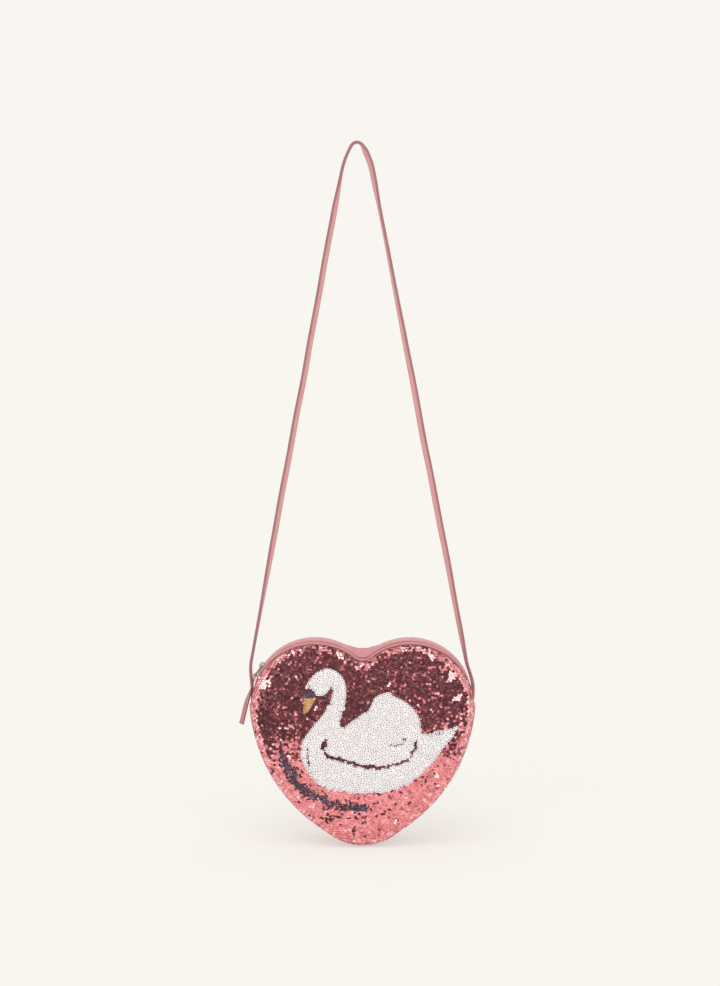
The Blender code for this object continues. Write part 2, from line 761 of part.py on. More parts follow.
def make_slider(colors, parent):
    """The slider, drawn at the top of the lobe's arc: X along the zip, Z outwards."""
    teeth_middle = tape_inset + TAPE_THICKNESS / 2
    teeth_outer = teeth_middle - TOOTH_THICKNESS / 2
    teeth_inner = teeth_middle + TOOTH_THICKNESS / 2
    half_length = SLIDER_LENGTH / 2
    half_width = SLIDER_WIDTH / 2
    sink = LOBE_RADIUS - math.sqrt(LOBE_RADIUS**2 - half_length**2)
    top_low = LOBE_RADIUS - teeth_outer + WING_GAP
    top_high = top_low + WING_THICKNESS
    low_high = LOBE_RADIUS - teeth_inner - WING_GAP - sink
    low_low = low_high - WING_THICKNESS
    tape_outer = LOBE_RADIUS - tape_inset
    tape_inner = tape_outer - TAPE_THICKNESS
    ring_play = 1.5 * CLEARANCE
    wall_start = half_width - 1.2 * SLIDER_WALL
    shoulder = half_length * 0.3

    def flat(x, y, z):
        return (x, y, z)

    def upright(x, z, y):
        return (x, y, z)

    nose = [
        (-half_length, -half_width * 0.75),
        (-shoulder, -half_width),
        (half_length, -half_width * 0.9),
        (half_length, half_width * 0.9),
        (-shoulder, half_width),
        (-half_length, half_width * 0.75),
    ]
    bm = bmesh.new()
    extrude_outline(bm, nose, top_low, top_high, flat)
    slider = make_object("zip_slider", bm, colors["metal"], parent)

    neck_low = -half_length + SLIDER_WALL / 2
    wing_middles = (low_low + WING_THICKNESS / 2, top_low + WING_THICKNESS / 2)
    neck = box_points(neck_low, neck_low + NECK_LENGTH, *wing_middles)
    pieces = []
    bm = bmesh.new()
    extrude_outline(bm, nose, low_low, low_high, flat)
    pieces.append(("slider_lower_wing", bm))
    bm = bmesh.new()
    extrude_outline(bm, neck, -NECK_WIDTH / 2, NECK_WIDTH / 2, upright)
    pieces.append(("slider_neck", bm))
    for side in (-1, 1):
        y0, y1 = sorted((side * wall_start, side * (wall_start + SLIDER_WALL)))
        upper = box_points(-shoulder, half_length * 0.9, tape_outer + WING_GAP, wing_middles[1])
        lower = box_points(-shoulder, half_length * 0.9, wing_middles[0], tape_inner - sink - WING_GAP)
        for label, outline in (("upper", upper), ("lower", lower)):
            bm = bmesh.new()
            extrude_outline(bm, outline, y0, y1, upright)
            pieces.append((f"slider_{label}_wall_{'front' if side < 0 else 'back'}", bm))
    hole_low = top_high
    hole_high = hole_low + 2 * (RING_WIRE_RADIUS + ring_play)
    arch = [
        (0.0, wing_middles[1]),
        (0.0, hole_high - BRIDGE_WALL * 0.2),
        (BRIDGE_WALL, hole_high + BRIDGE_WALL),
        (BRIDGE_LENGTH - BRIDGE_WALL, hole_high + BRIDGE_WALL),
        (BRIDGE_LENGTH, hole_high - BRIDGE_WALL * 0.2),
        (BRIDGE_LENGTH, wing_middles[1]),
    ]
    bm = bmesh.new()
    extrude_outline(bm, arch, -BRIDGE_WIDTH / 2, BRIDGE_WIDTH / 2, upright)
    pieces.append(("slider_bridge", bm))
    for name, bm in pieces:
        add_boolean(slider, make_helper(name, bm, parent), "UNION")
    hole = box_points(BRIDGE_WALL, BRIDGE_LENGTH - BRIDGE_WALL, hole_low, hole_high)
    bm = bmesh.new()
    extrude_outline(bm, hole, -BRIDGE_WIDTH, BRIDGE_WIDTH, upright)
    add_boolean(slider, make_helper("slider_bridge_hole", bm, parent), "DIFFERENCE")
    return BRIDGE_WALL + ring_play + RING_WIRE_RADIUS, (hole_low + hole_high) / 2


def make_ring(colors, parent):
    """A wire ring: its near bar runs through the slider's bridge, and its far bar carries the tab."""
    half_width = RING_WIDTH / 2 - RING_WIRE_RADIUS - RING_CORNER
    corners = (
        (-RING_REACH + RING_CORNER, -half_width, 180),
        (-RING_CORNER, -half_width, 270),
        (-RING_CORNER, half_width, 0),
        (-RING_REACH + RING_CORNER, half_width, 90),
    )
    points = []
    for x, y, start in corners:
        for i in range(4):
            angle = math.radians(start + 30 * i)
            points.append((x + RING_CORNER * math.cos(angle), y + RING_CORNER * math.sin(angle), 0.0))
    curve = bpy.data.curves.new("pull_ring", "CURVE")
    curve.dimensions = "3D"
    curve.bevel_depth = RING_WIRE_RADIUS
    curve.bevel_resolution = 2
    spline = curve.splines.new("POLY")
    spline.points.add(len(points) - 1)
    for target, point in zip(spline.points, points):
        target.co = (*point, 1.0)
    spline.use_cyclic_u = True
    curve.materials.append(colors["metal"])
    ring = bpy.data.objects.new("pull_ring", curve)
    ring.parent = parent
    bpy.context.scene.collection.objects.link(ring)


def make_pull(colors, parent):
    """The pull tab: a strip folded round the ring's far bar, which twists a little as it hangs."""
    eye = RING_WIRE_RADIUS + CLEARANCE
    fold = eye + PULL_THICKNESS / 2
    half_width = PULL_WIDTH / 2
    half = PULL_THICKNESS / 2

    def upright(x, z, y):
        return (x, y, z)

    def circle(radius, count):
        turn = 2 * math.pi / count
        return [(radius * math.cos(turn * i), radius * math.sin(turn * i)) for i in range(count)]

    bm = bmesh.new()
    loops = []
    steps = 14
    start = eye + PULL_THICKNESS / 4
    for i in range(steps + 1):
        along = start + (PULL_LENGTH - start) * i / steps
        twist = PULL_TWIST * ease(along, PULL_TWIST_START, PULL_TWIST_END)
        turn_y = math.cos(twist)
        turn_z = math.sin(twist)
        loop = []
        for a, b in ((-half_width, -half), (half_width, -half), (half_width, half), (-half_width, half)):
            loop.append((-along, a * turn_y - b * turn_z, a * turn_z + b * turn_y))
        loops.append(loop)
    loft(bm, loops)
    pull = make_object("pull_tab", bm, colors["strap"], parent)
    bm = bmesh.new()
    extrude_outline(bm, circle(fold, 16), -half_width, half_width, upright)
    add_boolean(pull, make_helper("pull_fold", bm, parent), "UNION")
    bm = bmesh.new()
    extrude_outline(bm, circle(eye, 12), -PULL_WIDTH, PULL_WIDTH, upright)
    add_boolean(pull, make_helper("pull_eye", bm, parent), "DIFFERENCE")


def smooth_loop(points, steps=3):
    """A closed smooth curve through the points."""
    count = len(points)
    out = []
    for i in range(count):
        before, here, there, after = (Vector(points[(i + k) % count]) for k in (-1, 0, 1, 2))
        for j in range(steps):
            t = j / steps
            bend = 2 * before - 5 * here + 4 * there - after
            turn = -before + 3 * here - 3 * there + after
            point = here + ((there - before) * t + bend * t**2 + turn * t**3) / 2
            out.append((point.x, point.y))
    return out


def on_heart(points):
    """Points given in percent of half the heart's width and of its height."""
    return [(x / 100 * HEART_WIDTH / 2, z / 100 * HEART_HEIGHT) for x, z in points]


def swan_outline():
    """A swan that swims to the left."""
    points = (
        (-50.6, 78.9), (-49.4, 81.2), (-46.8, 83.6), (-42.6, 86.2), (-37, 88), (-31.5, 88.8), (-25.5, 88),
        (-20, 85.8), (-16, 82.6), (-14.6, 79), (-14.4, 75.4), (-15.4, 71.4), (-17.6, 67), (-19.4, 63.2),
        (-19.4, 60.3), (-16, 60.2), (-11.5, 62.2), (-6, 64.2), (-1, 66.3), (4.2, 67.9), (7.2, 70.4),
        (9.6, 73.6), (13.8, 75.6), (19, 76.7), (24, 77.2), (28.3, 75.2), (35, 73.5), (41, 71.3), (46, 68.4),
        (49.6, 65.6), (51.6, 62.4), (52.2, 59.2), (53.6, 56.8), (60.7, 57), (69.7, 58.4), (77.2, 59.2),
        (84.2, 59.8), (81.4, 55.6), (76.8, 52.4), (70.6, 48.4), (63.7, 42.8), (54.7, 37.8), (46, 33.8),
        (34, 29.8), (18.7, 27.7), (2, 27.2), (-16, 27.8), (-34, 29.8), (-44.2, 34), (-51.5, 39.8), (-55, 46),
        (-53.6, 52), (-48.6, 57.2), (-41.8, 61.8), (-35.2, 66.2), (-30, 70.8), (-27.2, 75), (-26.6, 78),
        (-28.6, 78.6), (-32, 76.6), (-36, 75.4), (-40.4, 75.5), (-43, 77.2), (-46.6, 78.7),
    )
    return smooth_loop(on_heart(points), 2)


def bill_outline():
    points = (
        (-52, 75.6), (-50.4, 77.9), (-46.6, 77.8), (-43, 76), (-42.6, 73.4), (-45, 70.6), (-48.8, 67.4),
        (-52.4, 66.4), (-53, 68.4), (-52, 72),
    )
    return smooth_loop(on_heart(points), 2)


def ripple_outline():
    """A tapered stroke of water that curves under the swan's breast."""
    middle = on_heart((
        (-72.5, 46), (-66.5, 38.8), (-59.5, 32.4), (-50, 27.2), (-32, 22.3), (-8, 19.4),
    ))
    left = []
    right = []
    for i, (x, z) in enumerate(middle):
        ahead = Vector(middle[min(i + 1, len(middle) - 1)]) - Vector(middle[max(i - 1, 0)])
        ahead.normalize()
        swell = math.sin(math.pi * (i + 0.5) / len(middle))
        reach = RIPPLE_WIDTH / 2 * (RIPPLE_TAPER + (1 - RIPPLE_TAPER) * swell)
        left.append((x - ahead.y * reach, z + ahead.x * reach))
        right.append((x + ahead.y * reach, z - ahead.x * reach))
    return left + right[::-1]


def make_motif(colors, parent):
    """The sewn figure: a thin layer that follows the front's dome, cut to each outline."""
    edge = BORDER_INSET + BORDER_RADIUS + CLEARANCE
    profile_low = [(inset, dome_height(inset, FRONT_CROWN) + CLEARANCE) for inset in (*dome_insets, edge)]
    profile_high = [(inset, height + MOTIF_THICKNESS) for inset, height in profile_low]
    depth = half_gusset + BORDER_RISE + BORDER_RADIUS + FRONT_CROWN
    for name, outline, material in (
        ("swan_motif", swan_outline(), colors["white"]),
        ("swan_bill", bill_outline(), colors["orange"]),
        ("water_ripple", ripple_outline(), colors["navy"]),
    ):
        bm = bmesh.new()
        loft(bm, [heart_loop(*point, -1) for point in profile_high + profile_low[::-1]])
        item = make_object(name, bm, material, parent)
        bm = bmesh.new()
        extrude_outline(bm, outline, -depth / 2, -depth * 2, lambda x, z, y: (x, y, z))
        add_boolean(item, make_helper(f"{name}_shape", bm, parent), "INTERSECT")


def build():
    clear_scene()
    colors = {
        "sequin": make_material("rose_sequin_cloth", (0.42, 0.13, 0.14), 0.3, 0.6),
        "shell": make_material("pink_coated_cloth", (0.68, 0.3, 0.31), 0.55),
        "strap": make_material("pink_coated_strap", (0.6, 0.27, 0.29), 0.5),
        "lining": make_material("pink_lining", (0.7, 0.42, 0.44), 0.8),
        "foam": make_material("white_foam", (0.8, 0.78, 0.76), 0.95),
        "tape": make_material("zip_tape", (0.62, 0.27, 0.29), 0.8),
        "teeth": make_material("zip_teeth", (0.66, 0.32, 0.33), 0.4),
        "metal": make_material("silver_metal", (0.62, 0.58, 0.56), 0.25, 1.0),
        "thread": make_material("pink_thread", (0.66, 0.34, 0.35), 0.7),
        "white": make_material("white_sequins", (0.84, 0.8, 0.8), 0.35),
        "orange": make_material("orange_sequins", (0.68, 0.35, 0.12), 0.35),
        "navy": make_material("navy_sequins", (0.06, 0.05, 0.09), 0.35),
    }
    bag = make_empty("bag_frame", (-strap_path.sway(strap_path.hang_z), 0, -strap_path.hang_z))
    make_panel("front", -1, FRONT_CROWN, colors["sequin"], colors, bag)
    make_panel("back", 1, BACK_CROWN, colors["shell"], colors, bag)
    make_gusset(colors, bag)
    make_zip(colors, bag)
    make_strap(colors, bag)
    make_strap_ends(colors, bag)
    make_motif(colors, bag)

    slide_turn = SLIDER_ANGLE - math.pi / 2
    slide_place = (-heart.lobe_x, ZIP_OFFSET, heart.lobe_z)
    slide_axis = make_empty("zip_slide_axis", slide_place, (0, slide_turn, 0), bag)
    pivot_x, pivot_z = make_slider(colors, slide_axis)
    ring_axis = make_empty("ring_axis", (pivot_x, 0, pivot_z), (0, 0, 0), slide_axis)
    make_ring(colors, ring_axis)
    pull_axis = make_empty("pull_axis", (-RING_REACH, 0, 0), (0, -PULL_DROP, 0), ring_axis)
    make_pull(colors, pull_axis)
    bpy.context.view_layer.update()
    for name, empty in (("bag", bag), ("slide", slide_axis), ("ring", ring_axis), ("pull", pull_axis)):
        print(name, "axis passes", [round(v, 6) for v in empty.matrix_world.translation])
    print("fold line at", round(strap_path.fold[0], 6), round(strap_path.fold[1] - strap_path.hang_z, 6))


build()
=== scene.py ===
import math
import random

import bmesh
import bpy
from mathutils import Euler, Matrix, Vector, kdtree, noise


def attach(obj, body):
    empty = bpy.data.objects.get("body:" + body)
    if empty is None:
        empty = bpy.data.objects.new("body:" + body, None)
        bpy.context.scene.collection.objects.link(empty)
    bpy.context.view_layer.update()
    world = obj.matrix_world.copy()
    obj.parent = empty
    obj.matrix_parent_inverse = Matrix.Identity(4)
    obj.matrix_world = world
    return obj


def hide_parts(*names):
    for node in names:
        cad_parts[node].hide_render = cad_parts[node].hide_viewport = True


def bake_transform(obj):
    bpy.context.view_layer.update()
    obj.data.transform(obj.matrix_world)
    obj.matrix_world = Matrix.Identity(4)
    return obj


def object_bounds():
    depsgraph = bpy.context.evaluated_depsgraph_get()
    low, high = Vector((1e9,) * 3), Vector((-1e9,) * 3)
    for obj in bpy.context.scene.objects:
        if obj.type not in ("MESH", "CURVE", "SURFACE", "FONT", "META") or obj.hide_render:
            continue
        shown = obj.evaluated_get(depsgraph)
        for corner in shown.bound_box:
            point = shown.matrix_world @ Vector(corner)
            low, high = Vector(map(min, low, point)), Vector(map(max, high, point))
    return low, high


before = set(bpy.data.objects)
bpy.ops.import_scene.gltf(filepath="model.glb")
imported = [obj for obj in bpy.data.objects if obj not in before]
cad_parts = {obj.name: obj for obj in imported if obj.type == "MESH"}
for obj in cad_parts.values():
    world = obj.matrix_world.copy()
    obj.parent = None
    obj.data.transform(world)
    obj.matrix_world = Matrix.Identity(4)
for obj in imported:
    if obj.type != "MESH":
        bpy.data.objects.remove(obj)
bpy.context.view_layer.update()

scene = bpy.context.scene
print("frame loaded")

# the heart's outline: the same tangent arcs as the solids have
heart = {
    "width": 0.178,
    "height": 0.162,
    "lobeRadius": 0.050997,
    "notchDepth": 0.0132966,
    "tipRadius": 0.0445,
    "tipSlope": 36.0,
    "sideJoin": 5.6,
    "tipZ": -0.5562,         # the tip below the strap's hanging point
    "axisX": 0.0044,         # the heart's middle beside it
    "halfGusset": 0.0185,
    "bandHalf": 0.01835,
}


def tangentArcs():
    lobeX = heart["width"] / 2 - heart["lobeRadius"]
    lobeZ = heart["height"] - heart["lobeRadius"]
    lobe = heart["lobeRadius"]
    tip = heart["tipRadius"]
    slope = math.radians(heart["tipSlope"])
    join = math.radians(heart["sideJoin"])
    notch = (lobeX**2 + heart["notchDepth"]**2) / (2 * heart["notchDepth"]) - lobe
    notchZ = heart["height"] - heart["notchDepth"] + notch
    lobeEnd = math.pi - math.atan2(notchZ - lobeZ, lobeX)
    sideStart = slope - math.pi / 2
    across = (math.cos(sideStart), math.sin(sideStart))
    joinAt = (math.cos(join), -math.sin(join))
    along = across[0] * joinAt[0] + across[1] * joinAt[1]
    side = (tip * (1 - math.cos(slope)) - across[0] * lobeX - across[1] * lobeZ - lobe * along) / (1 - along)
    sideX = lobeX + (lobe - side) * joinAt[0]
    sideZ = lobeZ + (lobe - side) * joinAt[1]
    tipEnd = (tip * across[0], tip * (1 + across[1]))
    sideFrom = (sideX + side * across[0], sideZ + side * across[1])
    parts = [
        ("arc", 0, tip, tip, -math.pi / 2, sideStart),
        ("line", tipEnd, sideFrom, across),
        ("arc", sideX, sideZ, side, sideStart, -join),
        ("arc", lobeX, lobeZ, lobe, -join, lobeEnd),
        ("arc", 0, notchZ, notch, lobeEnd - math.pi, -math.pi / 2),
    ]
    lengths = []
    for part in parts:
        lengths.append(math.dist(part[1], part[2]) if part[0] == "line" else part[3] * abs(part[5] - part[4]))
    return parts, lengths, lobeX, lobeZ


arcs, arcLengths, lobeX, lobeZ = tangentArcs()
halfLength = sum(arcLengths)
wholeLength = 2 * halfLength
widest = sum(arcLengths[:3]) + heart["lobeRadius"] * math.radians(heart["sideJoin"])


# the point at a length from the tip, over the right side, and the outward normal there
def onOutline(s, inset=0.0):
    s = s % wholeLength
    side = 1
    if s > halfLength:
        s = wholeLength - s
        side = -1
    start = 0.0
    for part, length in zip(arcs, arcLengths):
        if s <= start + length + 1e-9:
            break
        start += length
    share = (s - start) / length
    if part[0] == "line":
        x = part[1][0] + (part[2][0] - part[1][0]) * share
        z = part[1][1] + (part[2][1] - part[1][1]) * share
        nx, nz = part[3]
    else:
        angle = part[4] + (part[5] - part[4]) * share
        nx, nz = math.cos(angle), math.sin(angle)
        x = part[1] + part[3] * nx
        z = part[2] + part[3] * nz
        if part[5] < part[4]:
            nx, nz = -nx, -nz
    place = Vector((side * (x - inset * nx) + heart["axisX"], 0, z - inset * nz + heart["tipZ"]))
    return place, Vector((side * nx, 0, nz))


def besideTip(s):
    s = abs(s) % wholeLength
    return min(s, wholeLength - s)


def ease(value, low, high):
    share = min(max((value - low) / (high - low), 0.0), 1.0)
    return share * share * (3 - 2 * share)


bridge = {
    "rise": 0.0047,          # how much higher the gusset stands over the notch, at the back
    "reach": 0.018,
    "start": 0.0045,
}


# the gusset is drawn tight over the notch behind the zip, so it doesn't follow the front all the way down
def bridgeAt(s, y):
    near = 1 - ease(halfLength - besideTip(s), 0.0, bridge["reach"])
    share = min(max((y - bridge["start"]) / (heart["halfGusset"] - bridge["start"]), 0.0), 1.0)
    return bridge["rise"] * near * share


def ripple(x, y, z, size):
    return noise.noise(Vector((x / size, y / size, z / size)))


# helpers for meshes
def newObject(name, mesh, material=None):
    item = bpy.data.objects.new(name, mesh)
    if material is not None:
        mesh.materials.append(material)
    scene.collection.objects.link(item)
    return item


def meshFrom(bm, name):
    mesh = bpy.data.meshes.new(name)
    bm.to_mesh(mesh)
    bm.free()
    return mesh


# the mesh of an object as its one modifier leaves it; the modifier goes
def applied(item, modifier, name):
    graph = bpy.context.evaluated_depsgraph_get()
    mesh = bpy.data.meshes.new_from_object(item.evaluated_get(graph))
    mesh.name = name
    item.modifiers.remove(modifier)
    return mesh


# closed loops of points, joined one after the other; strips carry (along, across) for the weave
def skin(name, loops, material, strip=None, wrap=False, smooth=40):
    bm = bmesh.new()
    layer = bm.verts.layers.float_vector.new("strip")
    rows = []
    for i, loop in enumerate(loops):
        row = [bm.verts.new(point) for point in loop]
        if strip is not None:
            for vert, value in zip(row, strip[i]):
                vert[layer] = Vector((value[0], value[1], 0))
        rows.append(row)
    pairs = list(zip(rows, rows[1:]))
    if wrap:
        pairs.append((rows[-1], rows[0]))
    count = len(rows[0])
    for low, high in pairs:
        for i in range(count):
            j = (i + 1) % count
            bm.faces.new((low[i], low[j], high[j], high[i]))
    if not wrap:
        bm.faces.new(rows[0][::-1])
        bm.faces.new(rows[-1])
    bmesh.ops.recalc_face_normals(bm, faces=bm.faces)
    mesh = meshFrom(bm, name)
    mesh.shade_smooth()
    mesh.set_sharp_from_angle(angle=math.radians(smooth))
    return newObject(name, mesh, material)


# helpers for materials, with short names for the shader's sockets
socketNames = {
    "coat": "Coat Weight", "coatRoughness": "Coat Roughness", "sheen": "Sheen Weight",
    "sheenRoughness": "Sheen Roughness", "specular": "Specular IOR Level",
}


def newMaterial(name, colour, roughness, metallic=0.0, **sockets):
    material = bpy.data.materials.new(name)
    material.use_nodes = True
    material.diffuse_color = (*colour, 1)
    shader = material.node_tree.nodes["Principled BSDF"]
    shader.inputs["Base Color"].default_value = (*colour, 1)
    shader.inputs["Roughness"].default_value = roughness
    shader.inputs["Metallic"].default_value = metallic
    for socket, value in sockets.items():
        shader.inputs[socketNames[socket]].default_value = value
    return material


# a node in any tree; each input takes a value or another node's socket
def addNode(tree, kind, inputs=(), **values):
    node = tree.nodes.new(kind)
    for name, value in values.items():
        setattr(node, name, value)
    for name, value in dict(inputs).items():
        if isinstance(value, bpy.types.NodeSocket):
            tree.links.new(value, node.inputs[name])
        else:
            node.inputs[name].default_value = value
    return node


def toShader(material, socket, output):
    tree = material.node_tree
    tree.links.new(output, tree.nodes["Principled BSDF"].inputs[socket])


# where a pattern is read: the object's own coordinates, or the strip's own length and width
def placeOf(material, strip=False):
    if strip:
        return addNode(material.node_tree, "ShaderNodeAttribute", attribute_name="strip").outputs["Vector"]
    return addNode(material.node_tree, "ShaderNodeTexCoord").outputs["Object"]


def noiseOf(material, place, scale, detail=3.0, roughness=0.5):
    inputs = {"Scale": scale, "Detail": detail, "Roughness": roughness, "Vector": place}
    return addNode(material.node_tree, "ShaderNodeTexNoise", inputs).outputs["Fac"]


def cellsOf(material, place, scale, **values):
    inputs = {"Scale": scale, "Vector": place}
    return addNode(material.node_tree, "ShaderNodeTexVoronoi", inputs, **values).outputs


def rampOf(material, factor, stops):
    node = addNode(material.node_tree, "ShaderNodeValToRGB", {"Fac": factor})
    ramp = node.color_ramp
    while len(ramp.elements) < len(stops):
        ramp.elements.new(0.5)
    for element, (position, colour) in zip(ramp.elements, stops):
        element.position = position
        element.color = (*colour, 1)
    return node.outputs["Color"]


# tones of one colour, each at its place on a pattern
def addTones(material, factor, colour, *tones):
    stops = []
    for position, share in tones:
        stops.append((position, tuple(min(channel * share, 1.0) for channel in colour)))
    toShader(material, "Base Color", rampOf(material, factor, stops))


def addBump(material, height, distance, strength=1.0):
    below = material.node_tree.nodes["Principled BSDF"].inputs["Normal"]
    inputs = {"Distance": distance, "Strength": strength, "Height": height}
    if below.is_linked:
        inputs["Normal"] = below.links[0].from_socket
    toShader(material, "Normal", addNode(material.node_tree, "ShaderNodeBump", inputs).outputs["Normal"])


def addRoughness(material, factor, low, high):
    inputs = {"Value": factor, "To Min": low, "To Max": high}
    between = addNode(material.node_tree, "ShaderNodeMapRange", inputs).outputs["Result"]
    toShader(material, "Roughness", between)


# coated cloth: a fine pebbled grain, soft patches of tone
def coatedCloth(name, colour, roughness=0.5, strip=False, mottle=0.06):
    material = newMaterial(name, colour, roughness, sheen=0.15, sheenRoughness=0.5)
    place = placeOf(material, strip)
    patches = noiseOf(material, place, 150.0, 4.0, 0.6)
    addTones(material, patches, colour, (0.3, 1 - mottle), (0.7, 1 + mottle))
    addBump(material, cellsOf(material, place, 2600.0, feature="SMOOTH_F1")["Distance"], 0.00006, 0.6)
    addBump(material, noiseOf(material, place, 420.0, 2.0), 0.00012, 0.5)
    addRoughness(material, noiseOf(material, place, 900.0, 2.0), roughness - 0.1, roughness + 0.12)
    return material


# woven cloth: two crossed bands of thread
def wovenCloth(name, colour, pitch, depth, strip=False):
    material = newMaterial(name, colour, 0.8, sheen=0.2, sheenRoughness=0.4)
    tree = material.node_tree
    place = placeOf(material, strip)
    inputs = {"Scale": 0.314 / pitch, "Distortion": 0.4, "Detail": 1.0, "Vector": place}
    warp = addNode(tree, "ShaderNodeTexWave", inputs, bands_direction="X").outputs["Fac"]
    weft = addNode(tree, "ShaderNodeTexWave", inputs, bands_direction="Y" if strip else "Z").outputs["Fac"]
    weave = addNode(tree, "ShaderNodeMath", {0: warp, 1: weft}, operation="MULTIPLY").outputs[0]
    addBump(material, weave, depth)
    addTones(material, noiseOf(material, place, 1400.0), colour, (0.25, 0.82), (0.75, 1.12))
    addRoughness(material, weave, 0.88, 0.7)
    return material


# darker towards a strip's long edges: on the gusset strips painted shade along the seams; on the strap and
# pull tab partly their real edge paint, partly painted shade
def darkEdges(material, reach, softness, factor):
    tree = material.node_tree
    colour = tree.nodes["Principled BSDF"].inputs["Base Color"].links[0].from_socket
    split = addNode(tree, "ShaderNodeSeparateXYZ", {"Vector": placeOf(material, True)})
    across = addNode(tree, "ShaderNodeMath", {0: split.outputs["Y"]}, operation="ABSOLUTE")
    inputs = {"Value": across.outputs[0], "From Min": reach - softness, "From Max": reach}
    edge = addNode(tree, "ShaderNodeMapRange", inputs).outputs["Result"]
    inputs = {"Factor": edge, 6: colour, 7: (*factor, 1)}
    mix = addNode(tree, "ShaderNodeMix", inputs, data_type="RGBA", blend_type="MULTIPLY")
    toShader(material, "Base Color", mix.outputs[2])
    return material


def threadFinish(name, colour):
    material = newMaterial(name, colour, 0.6, sheen=0.3, sheenRoughness=0.4)
    twist = noiseOf(material, placeOf(material), 5200.0, 1.0)
    addTones(material, twist, colour, (0.3, 0.75), (0.7, 1.15))
    addBump(material, twist, 0.00006)
    return material


def metalFinish(name, colour, roughness):
    material = newMaterial(name, colour, roughness, 1.0)
    place = placeOf(material)
    cloud = noiseOf(material, place, 700.0, 4.0, 0.65)
    addRoughness(material, cloud, roughness - 0.06, roughness + 0.16)
    addTones(material, cloud, colour, (0.3, 0.85), (0.75, 1.08))
    addBump(material, noiseOf(material, place, 5000.0, 2.0), 0.00001, 0.4)
    return material


# foil sequins: the tone of each one comes from its own value, and its facets differ a little; the flecks add
# small painted glints and dark specks
def sequinFinish(name, stops, roughness, metallic, coat=0.3, glintFleck=0.0, dull=0.0):
    material = newMaterial(name, stops[-1][1], roughness, metallic, coat=coat, coatRoughness=0.12)
    tree = material.node_tree
    tone = addNode(tree, "ShaderNodeAttribute", attribute_name="tone").outputs["Fac"]
    place = placeOf(material)
    if glintFleck > 0:
        cells = cellsOf(material, place, 1000.0)["Color"]
        red = addNode(tree, "ShaderNodeSeparateColor", {"Color": cells}).outputs["Red"]
        inputs = {"Value": red, "To Min": -glintFleck, "To Max": glintFleck}
        inputs = {0: tone, 1: addNode(tree, "ShaderNodeMapRange", inputs).outputs["Result"]}
        tone = addNode(tree, "ShaderNodeMath", inputs, operation="ADD", use_clamp=True).outputs[0]
    toShader(material, "Base Color", rampOf(material, tone, stops))
    if dull > 0:
        addRoughness(material, tone, roughness - 0.04, roughness + dull)
    else:
        addRoughness(material, noiseOf(material, place, 1100.0, 2.0), roughness - 0.08, roughness + 0.1)
    addBump(material, noiseOf(material, place, 1500.0, 2.0), 0.00005, 0.5)
    return material


finishes = {
    "backing": wovenCloth("sequinBackingMesh", (0.42, 0.13, 0.145), 0.0006, 0.00012),
    # the dark stops are painted reflection of dark surroundings, the palest stop a painted highlight
    "rose": sequinFinish(
        "roseFoilSequin",
        [(0.0, (0.065, 0.014, 0.02)), (0.3, (0.175, 0.048, 0.056)), (0.6, (0.62, 0.19, 0.205)),
         (0.8, (0.83, 0.285, 0.305)), (0.93, (0.89, 0.36, 0.38)), (1.0, (0.96, 0.68, 0.7))],
        0.22, 0.7, coat=0.04, glintFleck=0.19, dull=0.24,
    ),
    "loose": newMaterial("looseFoilSequin", (0.95, 0.5, 0.51), 0.2, 0.8, coat=0.3, coatRoughness=0.12),
    "white": sequinFinish(
        "whitePearlSequin",
        [(0.0, (0.93, 0.875, 0.9)), (0.25, (0.975, 0.94, 0.96)), (1.0, (0.995, 0.975, 0.99))],
        0.34, 0.0, coat=0.4,
    ),
    "orange": sequinFinish(
        "orangeSequin",
        [(0.0, (0.58, 0.28, 0.08)), (0.7, (0.84, 0.47, 0.16)), (1.0, (0.92, 0.66, 0.4))],
        0.3, 0.35,
    ),
    "navy": sequinFinish(
        "navySequin",
        [(0.0, (0.016, 0.012, 0.028)), (0.7, (0.05, 0.036, 0.075)), (1.0, (0.2, 0.15, 0.2))],
        0.28, 0.5,
    ),
    # near-black thread knots: the thread is real, its darkness is painted shade inside each sewn hole
    "knot": threadFinish("sequinThread", (0.07, 0.038, 0.048)),
    # the gusset strips darken towards both seams: painted shade
    "coated": darkEdges(
        coatedCloth("pinkCoatedCloth", (0.645, 0.255, 0.27), strip=True, mottle=0.13),
        0.0186, 0.0035, (0.66, 0.55, 0.57),
    ),
    "back": coatedCloth("pinkBackCloth", (0.7, 0.3, 0.31)),
    # the strap's long edges are darker: partly its edge paint, partly painted shade on the sides turned from
    # the light
    "strap": darkEdges(
        coatedCloth("pinkStrapCloth", (0.72, 0.34, 0.345), 0.46, strip=True),
        0.0034, 0.0005, (0.5, 0.42, 0.45),
    ),
    # the pull tab is a darker copy of the strap's cloth, painted shade, and its long edges darker: partly
    # edge paint, partly painted shade
    "pull": darkEdges(
        coatedCloth("pinkPullCloth", (0.51, 0.2, 0.21), 0.46, strip=True),
        0.0021, 0.0005, (0.6, 0.5, 0.5),
    ),
    "tape": wovenCloth("zipTapeWeave", (0.62, 0.25, 0.27), 0.0005, 0.00008, strip=True),
    "coil": newMaterial("zipCoilNylon", (0.66, 0.3, 0.315), 0.38, coat=0.2, coatRoughness=0.2),
    "metal": metalFinish("agedNickel", (0.34, 0.32, 0.28), 0.34),
    "thread": threadFinish("pinkTopstitch", (0.7, 0.33, 0.34)),
    "lining": wovenCloth("pinkLiningCloth", (0.68, 0.4, 0.42), 0.0004, 0.00005),
    "foam": newMaterial("whiteFoam", (0.8, 0.78, 0.76), 0.9),
}

